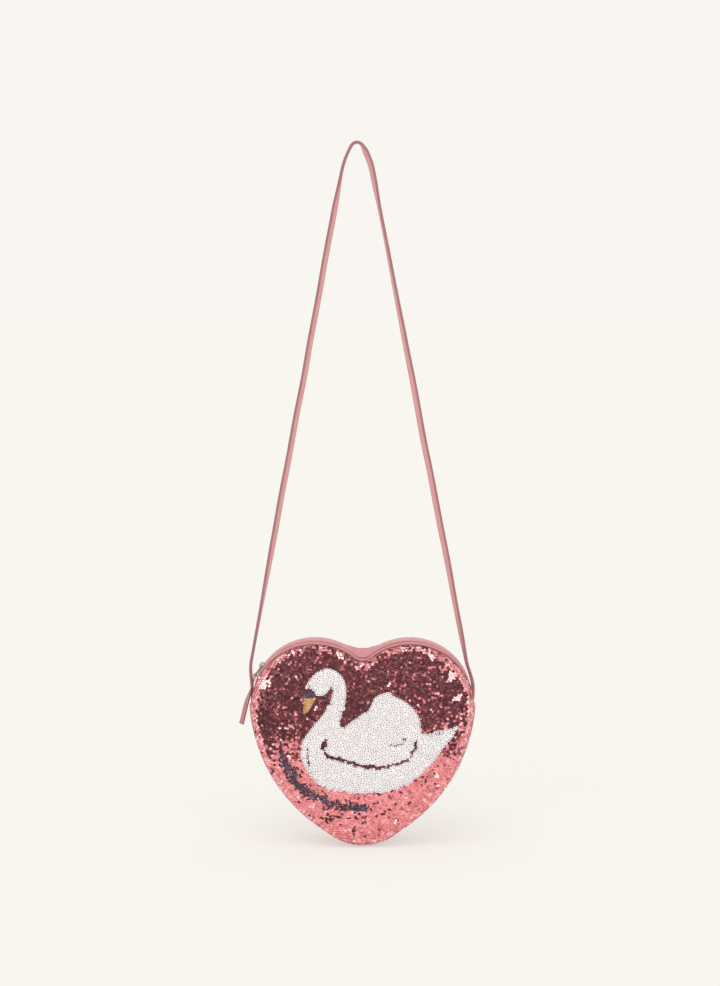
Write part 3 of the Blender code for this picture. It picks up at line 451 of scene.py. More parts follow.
foil = finishes["loose"]
place = placeOf(foil)
stops = [(0.3, (0.8, 0.3, 0.31)), (0.7, (0.96, 0.6, 0.61))]
toShader(foil, "Base Color", rampOf(foil, noiseOf(foil, place, 700.0, 2.0), stops))
addRoughness(foil, noiseOf(foil, place, 900.0, 2.0), 0.24, 0.4)
nylon = finishes["coil"]
place = placeOf(nylon)
addBump(nylon, noiseOf(nylon, place, 2600.0, 2.0), 0.00004)
addRoughness(nylon, noiseOf(nylon, place, 800.0, 2.0), 0.3, 0.5)
foam = finishes["foam"]
cells = cellsOf(foam, placeOf(foam), 1800.0)["Distance"]
addBump(foam, cells, 0.0002)
toShader(foam, "Base Color", rampOf(foam, cells, [(0.0, (0.62, 0.6, 0.58)), (0.6, (0.84, 0.82, 0.8))]))
print("materials made")


# Geometry Nodes: one small shape on each point of a mesh
def scatterTree(name, mainFinish, knotFinish=None):
    tree = bpy.data.node_groups.new(name, "GeometryNodeTree")
    face = tree.interface
    face.new_socket("Geometry", in_out="INPUT", socket_type="NodeSocketGeometry")
    face.new_socket("Shape", in_out="INPUT", socket_type="NodeSocketObject")
    for label, value in (("Length", 1.0), ("Width", 1.0), ("Height", 1.0), ("Loose Tilt", 0.0)):
        face.new_socket(label, in_out="INPUT", socket_type="NodeSocketFloat").default_value = value
    face.new_socket("Seed", in_out="INPUT", socket_type="NodeSocketInt")
    face.new_socket("Geometry", in_out="OUTPUT", socket_type="NodeSocketGeometry")

    def made(output, kind, inputs=(), **values):
        return addNode(tree, kind, inputs, **values).outputs[output]

    def attribute(label, kind):
        return made("Attribute", "GeometryNodeInputNamedAttribute", {"Name": label}, data_type=kind)

    start = addNode(tree, "NodeGroupInput").outputs
    align = "FunctionNodeAlignRotationToVector"
    stand = made("Rotation", align, {"Vector": attribute("facing", "FLOAT_VECTOR")}, axis="Z")
    inputs = {"Rotation": stand, "Vector": attribute("along", "FLOAT_VECTOR")}
    turn = made("Rotation", align, inputs, axis="X", pivot_axis="Z")
    least = made(0, "ShaderNodeMath", {0: start["Loose Tilt"], 1: -1.0}, operation="MULTIPLY")
    inputs = {"Min": least, "Max": start["Loose Tilt"], "Seed": start["Seed"]}
    chance = made("Value", "FunctionNodeRandomValue", inputs, data_type="FLOAT_VECTOR")
    loose = made("Rotation", "FunctionNodeEulerToRotation", {"Euler": chance})
    inputs = {"Rotation": turn, "Rotate By": loose}
    lean = made("Rotation", "FunctionNodeRotateRotation", inputs, rotation_space="LOCAL")
    inputs = {"X": start["Length"], "Y": start["Width"], "Z": start["Height"]}
    inputs = {"Vector": made("Vector", "ShaderNodeCombineXYZ", inputs), "Scale": attribute("size", "FLOAT")}
    scaled = made("Vector", "ShaderNodeVectorMath", inputs, operation="SCALE")
    shape = made("Geometry", "GeometryNodeObjectInfo", {"Object": start["Shape"]}, transform_space="ORIGINAL")
    inputs = {"Points": start["Geometry"], "Instance": shape, "Rotation": lean, "Scale": scaled}
    placed = made("Instances", "GeometryNodeInstanceOnPoints", inputs)
    real = made("Geometry", "GeometryNodeRealizeInstances", {"Geometry": placed})
    last = made("Geometry", "GeometryNodeSetMaterial", {"Geometry": real, "Material": mainFinish})
    if knotFinish is not None:
        inputs = {"Geometry": last, "Material": knotFinish, "Selection": attribute("knot", "FLOAT")}
        last = made("Geometry", "GeometryNodeSetMaterial", inputs)
    tree.links.new(last, addNode(tree, "NodeGroupOutput").inputs["Geometry"])
    return tree


# points: (place, facing, along, tone, size); scale: the shape's length, width and height
def scatter(name, points, shape, tree, scale, tilt=0.0, seed=0, smooth=False):
    mesh = bpy.data.meshes.new(name + "Points")
    mesh.from_pydata([p[0] for p in points], [], [])
    for label, index in (("facing", 1), ("along", 2)):
        layer = mesh.attributes.new(label, "FLOAT_VECTOR", "POINT")
        layer.data.foreach_set("vector", [c for p in points for c in p[index]])
    for label, index in (("tone", 3), ("size", 4)):
        layer = mesh.attributes.new(label, "FLOAT", "POINT")
        layer.data.foreach_set("value", [p[index] for p in points])
    carrier = newObject(name + "Carrier", mesh)
    modifier = carrier.modifiers.new("scatter", "NODES")
    modifier.node_group = tree
    sockets = {s.name: s.identifier for s in tree.interface.items_tree if s.in_out == "INPUT"}
    labels = ("Shape", "Length", "Width", "Height", "Loose Tilt", "Seed")
    for label, value in zip(labels, (shape, *scale, tilt, seed)):
        modifier[sockets[label]] = value
    result = applied(carrier, modifier, name)
    bpy.data.objects.remove(carrier, do_unlink=True)
    if smooth:
        result.shade_smooth()
    return newObject(name, result)


def shapeObject(name, verts, faces, knotFrom=None):
    bm = bmesh.new()
    made = [bm.verts.new(v) for v in verts]
    for face in faces:
        bm.faces.new([made[i] for i in face])
    bmesh.ops.recalc_face_normals(bm, faces=bm.faces)
    mesh = meshFrom(bm, name)
    if knotFrom is not None:
        layer = mesh.attributes.new("knot", "FLOAT", "POINT")
        layer.data.foreach_set("value", [1.0 if i >= knotFrom else 0.0 for i in range(len(verts))])
    return newObject(name, mesh)


sequin = {
    "width": 0.0029,
    # shares of the width
    "hole": 0.12,
    "sewnHole": 0.42,        # in the figure's sequins, with the thread seen in it
    "cup": 0.11,
    "flatCup": 0.03,         # of the loose ones
    "thickness": 0.035,
    "under": 0.33,           # where the ring is thickest below
    "knotTop": 0.13,
    "knotFoot": -0.03,
    "sides": 8,
    "knotSides": 5,
    "rowPitch": 0.00186,
    "pitch": 0.00214,
    "jitter": 0.0006,
    "apart": 0.0021,
    "scaleTilt": 7.0,
    "looseTilt": 0.2,
    "lift": 0.0003,
}


# places round a circle
def roundPlaces(sides, radius=1.0):
    turns = [2 * math.pi * i / sides for i in range(sides)]
    return [(radius * math.cos(angle), radius * math.sin(angle)) for angle in turns]


# four-sided faces between two rings of corners, given by the first corner of each
def ringFaces(sides, low, high):
    return [(low + i, low + (i + 1) % sides, high + (i + 1) % sides, high + i) for i in range(sides)]


# a cupped ring of one unit across, with a thread knot in its hole if asked for
def sequinShape(name, knot, cup=sequin["cup"]):
    hole = 0.5 * (sequin["sewnHole"] if knot else sequin["hole"])
    sides = sequin["sides"]
    verts = []
    faces = []
    rings = ((0.5, cup), (hole, sequin["thickness"] / 2), (sequin["under"], -sequin["thickness"]))
    for ring, (radius, level) in enumerate(rings):
        verts += [(x, y, level) for x, y in roundPlaces(sides, radius)]
        faces += ringFaces(sides, ring * sides, (ring + 1) % 3 * sides)
    if not knot:
        return shapeObject(name, verts, faces)
    first = len(verts)
    corners = sequin["knotSides"]
    verts += [(x, y, 0.0) for x, y in roundPlaces(corners, hole)]
    verts += [(0, 0, sequin["knotTop"]), (0, 0, sequin["knotFoot"])]
    for i in range(corners):
        j = (i + 1) % corners
        faces.append((first + i, first + j, first + corners))
        faces.append((first + j, first + i, first + corners + 1))
    return shapeObject(name, verts, faces, first)


# a small rounded rod of one unit along x
def rodShape(name, sides=6):
    rings = ((-0.5, 0.3), (-0.36, 0.9), (0.0, 1.0), (0.36, 0.9), (0.5, 0.3))
    verts = []
    faces = []
    for x, reach in rings:
        verts += [(x, y, z) for y, z in roundPlaces(sides, 0.5 * reach)]
    last = (len(rings) - 1) * sides
    for low in range(0, last, sides):
        faces += ringFaces(sides, low, low + sides)
    faces.append(tuple(range(sides)))
    faces.append(tuple(range(last, last + sides)))
    return shapeObject(name, verts, faces)


# the two panels: the solids' rolled border and crown, with a little swell of the stuffing
panel = {
    "borderRadius": 0.0042,
    "borderRise": 0.0014,
    "borderInset": 0.0012,
    "thickness": 0.0008,
    "flange": 0.0043,
    "frontCrown": 0.0025,
    "backCrown": 0.001,
    "domeReach": 0.034,
    "seam": 0.00015,
    "step": 0.0024,
    "frontSwell": 0.0009,
    "backSwell": 0.0011,
    "middleHeight": 0.093,   # where the rings of the crown close in
    "crownScales": (0.12, 0.34, 0.56, 0.78),
    "crownInsets": (0.034, 0.029, 0.0245, 0.0205, 0.0168, 0.0138, 0.0112, 0.0088, 0.0068),
    "rollFrom": 84.0,
    "rollSteps": 10,
}
rollTop = panel["borderInset"] + panel["borderRadius"]


def domeHeight(inset, crown):
    share = min(max((inset - rollTop) / (panel["domeReach"] - rollTop), 0.0), 1.0)
    return panel["borderRise"] + panel["borderRadius"] + crown * (1 - (1 - share) ** 2)


# soft unevenness of a stuffed panel, never below the solid
def frontSwell(x, z, inset):
    inside = ease(inset, rollTop - 0.002, rollTop + 0.012)
    wave = 0.5 + 0.5 * ripple(x, 3.1, z, 0.034) + 0.35 * ripple(x, 7.7, z, 0.014)
    return panel["frontSwell"] * max(wave, 0.0) * inside


def backSwell(x, z, inset):
    inside = ease(inset, rollTop - 0.002, rollTop + 0.01)
    wave = 0.5 + 0.55 * ripple(x * 0.7, 1.3, z, 0.03) + 0.25 * ripple(x, 5.9, z * 1.6, 0.011)
    return panel["backSwell"] * max(wave, 0.0) * inside


def panelPiece(name, side, crown, swell, material):
    count = round(wholeLength / panel["step"])
    lengths = [wholeLength * i / count for i in range(count)]
    rise = panel["borderRise"]
    thick = panel["thickness"]
    middle = (heart["axisX"], panel["middleHeight"] + heart["tipZ"])
    outer = [(panel["domeReach"], domeHeight(1, crown), scale) for scale in panel["crownScales"]]
    outer += [(inset, domeHeight(inset, crown), 1.0) for inset in panel["crownInsets"]]
    inner = [(inset, height - thick, scale) for inset, height, scale in outer]
    first = panel["rollFrom"]
    for rows, radius, seam in (
        (outer, panel["borderRadius"], panel["seam"]),
        (inner, panel["borderRadius"] - thick, panel["seam"] + thick),
    ):
        last = math.degrees(math.asin((seam - rise) / radius))
        for i in range(panel["rollSteps"] + 1):
            angle = math.radians(first + (last - first) * i / panel["rollSteps"])
            rows.append((rollTop - radius * math.cos(angle), rise + radius * math.sin(angle), 1.0))
    flange = [(panel["flange"], panel["seam"], 1.0), (panel["flange"], panel["seam"] + thick, 1.0)]
    profile = outer + flange + inner[::-1]
    loops = []
    for inset, height, scale in profile:
        loop = []
        for s in lengths:
            point, _ = onOutline(s, inset - (bridgeAt(s, heart["halfGusset"]) if side > 0 else 0.0))
            x = middle[0] + (point.x - middle[0]) * scale
            z = middle[1] + (point.z - middle[1]) * scale
            deep = inset if scale == 1.0 else panel["domeReach"] + (1 - scale) * 0.04
            loop.append((x, side * (heart["halfGusset"] + height + swell(x, z, deep)), z))
        loops.append(loop)
    return skin(name, loops, material, smooth=50)


frontCloth = panelPiece("frontCloth", -1, panel["frontCrown"], frontSwell, finishes["backing"])
backCloth = panelPiece("backCloth", 1, panel["backCrown"], backSwell, finishes["back"])
print("panels made")


# the figures: loops through points in percent of half the heart's width and of its height
motif = {
    "seed": 41,
    "swan": (
        (-50.6, 78.9), (-49.4, 81.2), (-46.8, 83.6), (-42.6, 86.2), (-37, 88), (-31.5, 88.8), (-25.5, 88),
        (-20, 85.8), (-16, 82.6), (-14.6, 79), (-14.4, 75.4), (-15.4, 71.4), (-17.6, 67), (-19.4, 63.2),
        (-19.4, 60.3), (-16, 60.2), (-11.5, 62.2), (-6, 64.2), (-1, 66.3), (4.2, 67.9), (7.2, 70.4),
        (9.6, 73.6), (13.8, 75.6), (19, 76.7), (24, 77.2), (28.3, 75.2), (35, 73.5), (41, 71.3), (46, 68.4),
        (49.6, 65.6), (51.6, 62.4), (52.2, 59.2), (53.6, 56.8), (60.7, 57), (69.7, 58.4), (77.2, 59.2),
        (84.2, 59.8), (81.4, 55.6), (76.8, 52.4), (70.6, 48.4), (63.7, 42.8), (54.7, 37.8), (46, 33.8),
        (34, 29.8), (18.7, 27.7), (2, 27.2), (-16, 27.8), (-34, 29.8), (-44.2, 34), (-51.5, 39.8), (-55, 46),
        (-53.6, 52), (-48.6, 57.2), (-41.8, 61.8), (-35.2, 66.2), (-30, 70.8), (-27.2, 75), (-26.6, 78),
        (-28.6, 78.6), (-32, 76.6), (-36, 75.4), (-40.4, 75.5), (-43, 77.2), (-46.6, 78.7),
    ),
    "bill": (
        (-52, 75.6), (-50.4, 77.9), (-46.6, 77.8), (-43, 76), (-42.6, 73.4), (-45, 70.6), (-48.8, 67.4),
        (-52.4, 66.4), (-53, 68.4), (-52, 72),
    ),
    "billMiddle": (-47, 68.5),
    "billRows": 12,          # to each side
    "knobBelow": 74.3,       # the bill's dark knob is its part above this
    # half width in metres, points
    "lines": (
        (
            0.0021,
            ((-33.4, 53), (-34.6, 49.6), (-33.4, 46.4), (-28.6, 45), (-20, 43.9), (-12, 42.6), (-4, 40.9)),
        ),
        (0.0021, ((-4, 40.9), (4.5, 40.1), (14.5, 39.9))),
        (0.0016, ((14.5, 39.9), (25, 40.8), (33.5, 42.3), (40.5, 43.6), (43.6, 46), (46, 49.6), (48, 53))),
        (0.0012, ((25, 50.8), (30, 51), (34.5, 51.6))),
        (0.0011, ((36.4, 53.8), (37, 54.6))),
        (0.0013, ((-48.2, 49), (-48.8, 45.4), (-46.8, 41))),
    ),
    "wave": ((-72.5, 46), (-66.5, 38.8), (-59.5, 32.4), (-50, 27.2), (-32, 22.3), (-8, 19.4), (2, 18.6)),
    "waveReach": 0.0014,
    "contourInset": 0.0011,
    "closest": 0.0015,
    "sewnApart": 0.00182,    # the figure's top sequins are sewn on one by one, without rows
    "sewnSize": 0.8,
    "sewnRounds": ((1.0, 26000), (0.86, 9000)),     # share of that distance, tries
    "underLift": -0.00002,   # a plain layer lies under them
    "underInset": 0.0021,
    "whiteLift": 0.00055,
    "billPitch": 0.0014,
    "billInset": 0.0005,
    "billSize": 0.72,
    # short dark strokes in the pale water, a painted reflection: percent of half the width and of the height,
    # reach in metres, count
    "dark": (
        (79, 49, 0.0085, 40), (-8, 14, 0.012, 13), (24, 23, 0.016, 20), (-26, 16.5, 0.0095, 34),
        (58, 36, 0.01, 16), (-64, 50, 0.012, 20), (-42, 27, 0.008, 12), (5, 8, 0.012, 1), (66, 52, 0.008, 12),
        (-72, 52, 0.01, 14), (-56, 40, 0.008, 8), (8, 19, 0.008, 5),
    ),
    "waveStrokes": 250,
    "waveSpread": (0.0014, 0.0016),
    "waveDirections": (0.3, 1.3, 1.6, 2.0, 2.9),
    "strokeLift": 0.00046,
    "strokeSize": 0.53,
    "strokePitch": 0.00095,
}


def inMetres(point):
    x, z = point
    return x / 100 * (heart["width"] / 2) + heart["axisX"], z / 100 * heart["height"] + heart["tipZ"]


# a smooth line in metres through points in percent
def smoothLine(points, closed=False, steps=8):
    points = [Vector(inMetres(point)) for point in points]
    count = len(points)
    out = []
    for i in range(count if closed else count - 1):
        near = []
        for k in (-1, 0, 1, 2):
            near.append(points[(i + k) % count if closed else min(max(i + k, 0), count - 1)])
        before, here, there, after = near
        for j in range(steps):
            t = j / steps
            bend = 2 * before - 5 * here + 4 * there - after
            turn = -before + 3 * here - 3 * there + after
            out.append(here + ((there - before) * t + bend * t**2 + turn * t**3) / 2)
    return out if closed else out + [points[-1]]


def isInside(point, loop):
    inside = False
    x, z = point
    for i in range(len(loop)):
        ax, az = loop[i - 1]
        bx, bz = loop[i]
        if (az > z) != (bz > z) and x < ax + (z - az) * (bx - ax) / (bz - az):
            inside = not inside
    return inside


def distanceTo(point, line, closed=False):
    point = Vector(point)
    best = 1.0
    for i in range(0 if closed else 1, len(line)):
        a, b = line[i - 1], line[i]
        ab = b - a
        share = max(0.0, min(1.0, (point - a).dot(ab) / max(ab.length_squared, 1e-12)))
        best = min(best, (point - a - ab * share).length)
    return best


def treeOf(places):
    tree = kdtree.KDTree(len(places))
    for i, (x, z) in enumerate(places):
        tree.insert((x, z, 0), i)
    tree.balance()
    return tree


outlineSteps = 4000
outlineTree = treeOf([onOutline(wholeLength * i / outlineSteps)[0].xz for i in range(outlineSteps)])


# a place on the front cloth for a place on the cloth laid flat, and how far it is in from the outline
def onFront(x, z, lift):
    _, index, _ = outlineTree.find((x, z, 0))
    s = wholeLength * index / outlineSteps
    base, normal = onOutline(s)
    inset = -((x - base.x) * normal.x + (z - base.z) * normal.z)
    if inset >= rollTop:
        dome = domeHeight(inset, panel["frontCrown"])
        swell = frontSwell(x, z, inset)
        height = dome + swell
        near = 0.0015
        ahead = domeHeight(inset + near, panel["frontCrown"]) - dome
        slopeX = (frontSwell(x + near, z, inset) - swell) / near
        slopeZ = (frontSwell(x, z + near, inset) - swell) / near
        facing = Vector((normal.x * ahead / near - slopeX, -1.0, normal.z * ahead / near - slopeZ))
        facing.normalize()
        place = Vector((x, -(heart["halfGusset"] + height), z))
        return place + facing * lift, facing, inset
    angle = math.pi / 2 - (rollTop - inset) / panel["borderRadius"]
    if angle < math.radians(9):
        return None
    point, _ = onOutline(s, rollTop - panel["borderRadius"] * math.cos(angle))
    height = panel["borderRise"] + panel["borderRadius"] * math.sin(angle)
    facing = (normal * math.cos(angle) + Vector((0, -1, 0)) * math.sin(angle)).normalized()
    place = Vector((point.x, -(heart["halfGusset"] + height), point.z))
    return place + facing * lift, facing, inset


# the rose sequins' tones are painted reflection: dark where they would mirror dark surroundings, light where
# they would mirror the pale floor
tone = {
    "leftEdge": 0.076,       # where dark turns to light, above the tip
    "rightEdge": 0.093,
    "split": 0.088,          # where the two pieces of rose sequins meet
    "softness": 0.015,
    # height, place and size of the waves in that edge
    "waves": ((0.012, 0.5, 0.02), (0.009, 2.5, 0.0055)),
    "leastDark": 0.02,
    "mostLight": 0.02,
    # share of the light ones that take the palest tone, a painted glint
    "paintedGlintShare": 0.03,
    "middleShare": 0.1,      # of the dark ones, how many are only half dark
    "rollShare": 0.6,        # and on the rolled edge
    # least value of a light sequin, and how much more it may have
    "rollValues": (0.64, 0.34),
    "upperValues": (0.48, 0.44),
    "lowerValues": (0.62, 0.18),
    # where more of the dark field is light, a painted highlight: percent of half the width and of the height,
    # reach in metres, share
    "specks": (
        (60, 76, 0.013, 0.3), (46, 70, 0.008, 0.3), (70, 66, 0.011, 0.3), (78, 88, 0.011, 0.55),
        (30, 90, 0.012, 0.1), (-70, 66, 0.012, 0.16), (-40, 92, 0.01, 0.1), (-62, 62, 0.012, 0.3),
        (4, 92, 0.008, 0.2),
    ),
}


# painted reflection: dark above and light below, broken up in small clusters, lighter and mixed on the rolled
# border as a painted highlight
def paintedReflectionTone(x, z, inset, chance):
    height = z - heart["tipZ"]
    share = min(max(0.5 + (x - heart["axisX"]) / heart["width"], 0), 1)
    edge = tone["leftEdge"] + (tone["rightEdge"] - tone["leftEdge"]) * share
    edge += sum(rise * ripple(x, at, z, size) for rise, at, size in tone["waves"])
    light = 1 - ease(height, edge - tone["softness"], edge + tone["softness"])
    light = tone["mostLight"] + (1 - tone["leastDark"] - tone["mostLight"]) * light
    clump = 0.5 + 0.5 * ripple(x, 9.2, z, 0.006)
    beside = ease(abs(x - heart["axisX"]) / heart["width"] * 2, 0.6, 0.97)
    if inset < rollTop:
        light = max(light, 0.44 + 0.54 * beside + 0.5 * (clump - 0.35))
    elif inset < rollTop + 0.003:
        light = max(light, (0.1 + 0.25 * beside) * clump * 2)
    upper = height > edge
    if upper:
        for *speck, reach, share in tone["specks"]:
            px, pz = inMetres(speck)
            near = 1 - ease(math.hypot(x - px, z - pz), reach * 0.6, reach)
            light = max(light, share * 1.3 * clump * near)
    light = light + (clump - 0.5) * 0.4 * (1 - abs(2 * light - 1))
    if chance.random() < light:
        if chance.random() < tone["paintedGlintShare"] * (5 if upper else 1):
            return 1.0
        least, more = tone["rollValues" if inset < rollTop else "upperValues" if upper else "lowerValues"]
        return least + 0.09 * ripple(x, 3.7, z, 0.007) + more * chance.random()
    if chance.random() < (tone["rollShare"] if inset < rollTop else tone["middleShare"]):
        return 0.35 + 0.3 * chance.random()
    return 0.26 * chance.random() ** 1.2


# sequins that hang loose lie turned to the light in small patches, and flash together
loose = {
    # percent of half the width and of the height, reach in metres
    "patches": (
        (-87.0, 81.0, 0.0056), (-19.3, 94.0, 0.0026), (0.0, 89.6, 0.0018), (60.7, 94.2, 0.0032),
        (78.6, 85.3, 0.0042), (84.2, 74.2, 0.0036), (23.8, 80.9, 0.0016), (-50.8, 66.6, 0.0014),
        (-42.7, 69.5, 0.0018), (66.0, 35.5, 0.0018), (29.2, 13.3, 0.0017), (-65.0, 44.9, 0.0014),
    ),
    # elevation and azimuth they face, degrees
    "facing": ((14.9, -15.4), (13.4, 17.0), (23.3, -1.3)),
    "wander": 2.2,
    "lift": 0.00075,
}


# the direction out to something at this height and side of the front, in degrees
def directionTo(elevation, azimuth):
    up, turn = math.radians(elevation), math.radians(azimuth)
    return Vector((math.sin(turn) * math.cos(up), -math.cos(turn) * math.cos(up), math.sin(up)))


looseFacing = [directionTo(*angles) for angles in loose["facing"]]


def isLoose(x, z, chance):
    for *patch, reach in loose["patches"]:
        px, pz = inMetres(patch)
        away = math.hypot(x - px, z - pz) / reach
        if away < 1.5 and chance.random() > away**2 * 0.75:
            return True
    return False


# spreads loose places evenly, away from each other and from those that are fixed
def spread(fixed, loose, rounds=3):
    for _ in range(rounds):
        near = treeOf(fixed + loose)
        moved = []
        for i, (x, z) in enumerate(loose):
            push = Vector((0, 0))
            for place, index, distance in near.find_range((x, z, 0), sequin["apart"]):
                if index != i + len(fixed) and distance > 1e-6:
                    weight = 0.9 if index < len(fixed) else 0.45
                    away = Vector((x - place.x, z - place.y)) / distance
                    push += away * weight * (sequin["apart"] - distance)
            moved.append((x + push.x, z + push.y))
        loose = moved
    return loose


fullTurn = 6.283


def sequinPlaces():
    chance = random.Random(motif["seed"])
    swanLoop = smoothLine(motif["swan"], True)
    billLoop = smoothLine(motif["bill"], True)
    lines = [(reach, smoothLine(points)) for reach, points in motif["lines"]]
    waveLine = smoothLine(motif["wave"])
    knobZ = heart["tipZ"] + motif["knobBelow"] / 100 * heart["height"]
    groups = {name: [] for name in (
        "white", "orange", "knob", "navy", "roseUpper", "roseLower",
        "roseStrokes", "navyStrokes", "whiteUnder",
    )}

    def onLine(place):
        uneven = 0.85 + 0.75 * ripple(place[0], 5.2, place[1], 0.005)
        return any(distanceTo(place, line) < reach * uneven for reach, line in lines)

    # the bill, then one line of white sequins just inside the swan's edge
    pitch = motif["billPitch"]
    middle = inMetres(motif["billMiddle"])
    rows = range(-motif["billRows"], motif["billRows"] + 1)
    for row in rows:
        for column in rows:
            place = (middle[0] + (column + 0.5 * (row % 2)) * pitch, middle[1] + row * pitch * 0.9)
            if isInside(place, billLoop) and distanceTo(place, billLoop, True) > motif["billInset"]:
                groups["knob" if place[1] > knobZ else "orange"].append(place)
    bill = groups["knob"] + groups["orange"]
    carried = 0.0
    for i in range(len(swanLoop)):
        a, b = swanLoop[i - 1], swanLoop[i]
        carried += (b - a).length
        if carried < motif["sewnApart"] * 1.2:
            continue
        carried = 0.0
        normal = Vector((b.y - a.y, a.x - b.x)).normalized()
        place = b + normal * motif["contourInset"]
        if not isInside(place, swanLoop):
            place = b - normal * motif["contourInset"]
        if min(math.dist(place, other) for other in bill) < motif["closest"] * 0.85:
            continue
        if distanceTo(place, swanLoop, True) > motif["contourInset"] * 0.8:
            groups["white"].append(tuple(place))
    fixed = groups["white"] + bill

    taken = {}

    def cellOf(place):
        return (int(place[0] / motif["sewnApart"] + 500), int(place[1] / motif["sewnApart"] + 500))

    def isFree(place, apart):
        column, row = cellOf(place)
        cells = [(column + i, row + j) for i in range(-2, 3) for j in range(-2, 3)]
        return not any(math.dist(place, other) < apart for cell in cells for other in taken.get(cell, ()))

    for place in fixed:
        taken.setdefault(cellOf(place), []).append(place)
    xs = [point.x for point in swanLoop]
    zs = [point.y for point in swanLoop]
    for apart, count in motif["sewnRounds"]:
        for _ in range(count):
            place = (chance.uniform(min(xs), max(xs)), chance.uniform(min(zs), max(zs)))
            if isFree(place, motif["sewnApart"] * apart) and isInside(place, swanLoop):
                taken.setdefault(cellOf(place), []).append(place)
                # sequins on the figure's lines are rose ones in a dark tone, the same painted reflection as
                # the dark field
                if onLine(place):
                    groups["roseUpper"].append((*place, 0.02 + 0.14 * chance.random()))
                else:
                    groups["white"].append(place)
                fixed.append(place)

    # rows of rose sequins all over, pushed apart, and sorted by where each one lies
    near = treeOf(fixed)
    loose = []
    count = 0
    z = heart["tipZ"] - 0.0005
    while z < heart["tipZ"] + heart["height"] + 0.0005:
        count += 1
        x = heart["axisX"] - heart["width"] / 2 - 0.001 + (count % 2) * sequin["pitch"] / 2
        while x < heart["axisX"] + heart["width"] / 2 + 0.001:
            px = x + chance.uniform(-sequin["jitter"], sequin["jitter"])
            pz = z + chance.uniform(-sequin["jitter"], sequin["jitter"])
            if near.find((px, pz, 0))[2] > motif["closest"] or isInside((px, pz), swanLoop):
                loose.append((px, pz))
            x += sequin["pitch"]
        z += sequin["rowPitch"]
    for x, z in spread(fixed, loose):
        if onFront(x, z, 0.0) is None:
            continue
        if near.find((x, z, 0))[2] < motif["closest"] * 0.9 and not isInside((x, z), swanLoop):
            continue
        if isInside((x, z), swanLoop):
            if not onLine((x, z)) and distanceTo((x, z), swanLoop, True) > motif["underInset"]:
                groups["whiteUnder"].append((x, z))
            continue
        broken = 0.5 + 0.9 * ripple(x, 6.6, z, 0.0036)
        within = motif["waveReach"] * (0.75 * broken - 0.1)
        if distanceTo((x, z), waveLine) < within and chance.random() < 0.8:
            groups["navy"].append((x, z))
            continue
        groups["roseUpper" if z > heart["tipZ"] + tone["split"] else "roseLower"].append((x, z))

    # short strokes of small sequins on top of the others: navy ones along the water, and rose ones in a dark
    # tone, a painted reflection
    def addStroke(x, z, direction, count, group):
        for i in range(count):
            x += math.cos(direction) * motif["strokePitch"]
            z += math.sin(direction) * motif["strokePitch"]
            direction += chance.uniform(-0.7, 0.7)
            if not isInside((x, z), swanLoop) and onFront(x, z, 0.0) is not None:
                groups[group].append((x, z))

    for *patch, reach, count in motif["dark"]:
        middle = inMetres(patch)
        for _ in range(count):
            turn = fullTurn * chance.random()
            away = reach * math.sqrt(chance.random())
            place = (middle[0] + away * math.cos(turn), middle[1] + away * math.sin(turn))
            addStroke(*place, fullTurn * chance.random(), chance.choice((1, 2, 2, 3)), "roseStrokes")
    for _ in range(motif["waveStrokes"]):
        along = waveLine[chance.randrange(len(waveLine))]
        toEnd = min((along - waveLine[0]).length, (along - waveLine[-1]).length)
        narrow = 0.35 + 0.65 * ease(toEnd, 0.001, 0.012)
        x = along.x + chance.gauss(0, motif["waveSpread"][0]) * narrow
        z = along.y + chance.gauss(0, motif["waveSpread"][1]) * narrow
        group = "navyStrokes" if z > along.y - 0.0012 and chance.random() < 0.8 else "roseStrokes"
        addStroke(x, z, chance.choice(motif["waveDirections"]), chance.choice((2, 3, 3, 4)), group)
    return groups


# rose sequins take a light or dark tone of painted reflection, and the loose ones among them go to a list of
# their own
def sequinPoints(group, seed, rise, scale):
    chance = random.Random(seed)
    turned = group in ("roseUpper", "roseLower")
    points = []
    for x, z, *own in groups[group]:
        found = onFront(x, z, sequin["lift"] + rise)
        if found is None:
            continue
        place, facing, inset = found
        value = paintedReflectionTone(x, z, inset, chance) if turned else chance.random()
        if own:
            value = own[0]
        # rose strokes take the darkest rose tones, a painted reflection
        if group == "roseStrokes":
            value = 0.16 * chance.random()
        if turned and not own and isLoose(x, z, chance):
            best = max(looseFacing, key=facing.dot)
            wander = [math.radians(chance.uniform(-loose["wander"], loose["wander"])) for _ in range(3)]
            best = Euler(wander).to_matrix() @ best
            across = best.cross(Vector((0, 0, 1))).normalized()
            size = 0.6 + 0.25 * chance.random()
            loosePoints.append((place + facing * loose["lift"], best, across, value, size))
            continue
        sideways = Vector((1, 0, 0))
        sideways = (sideways - facing * sideways.dot(facing)).normalized()
        facing = Matrix.Rotation(math.radians(-sequin["scaleTilt"]), 3, sideways) @ facing
        along = Matrix.Rotation(fullTurn * chance.random(), 3, facing) @ sideways
        size = scale
        if turned and value > 0.4 and z > heart["tipZ"] + tone["split"]:
            size = 0.62 + 0.3 * chance.random()
        points.append((place, facing, along, value, size * (0.92 + 0.16 * chance.random())))
    return points


loosePoints = []
groups = sequinPlaces()
plainDisc = sequinShape("plainDisc", False)
knottedDisc = sequinShape("knottedDisc", True)
flatDisc = sequinShape("flatDisc", False, sequin["flatCup"])
discScale = (sequin["width"],) * 3
sequinPieces = {}
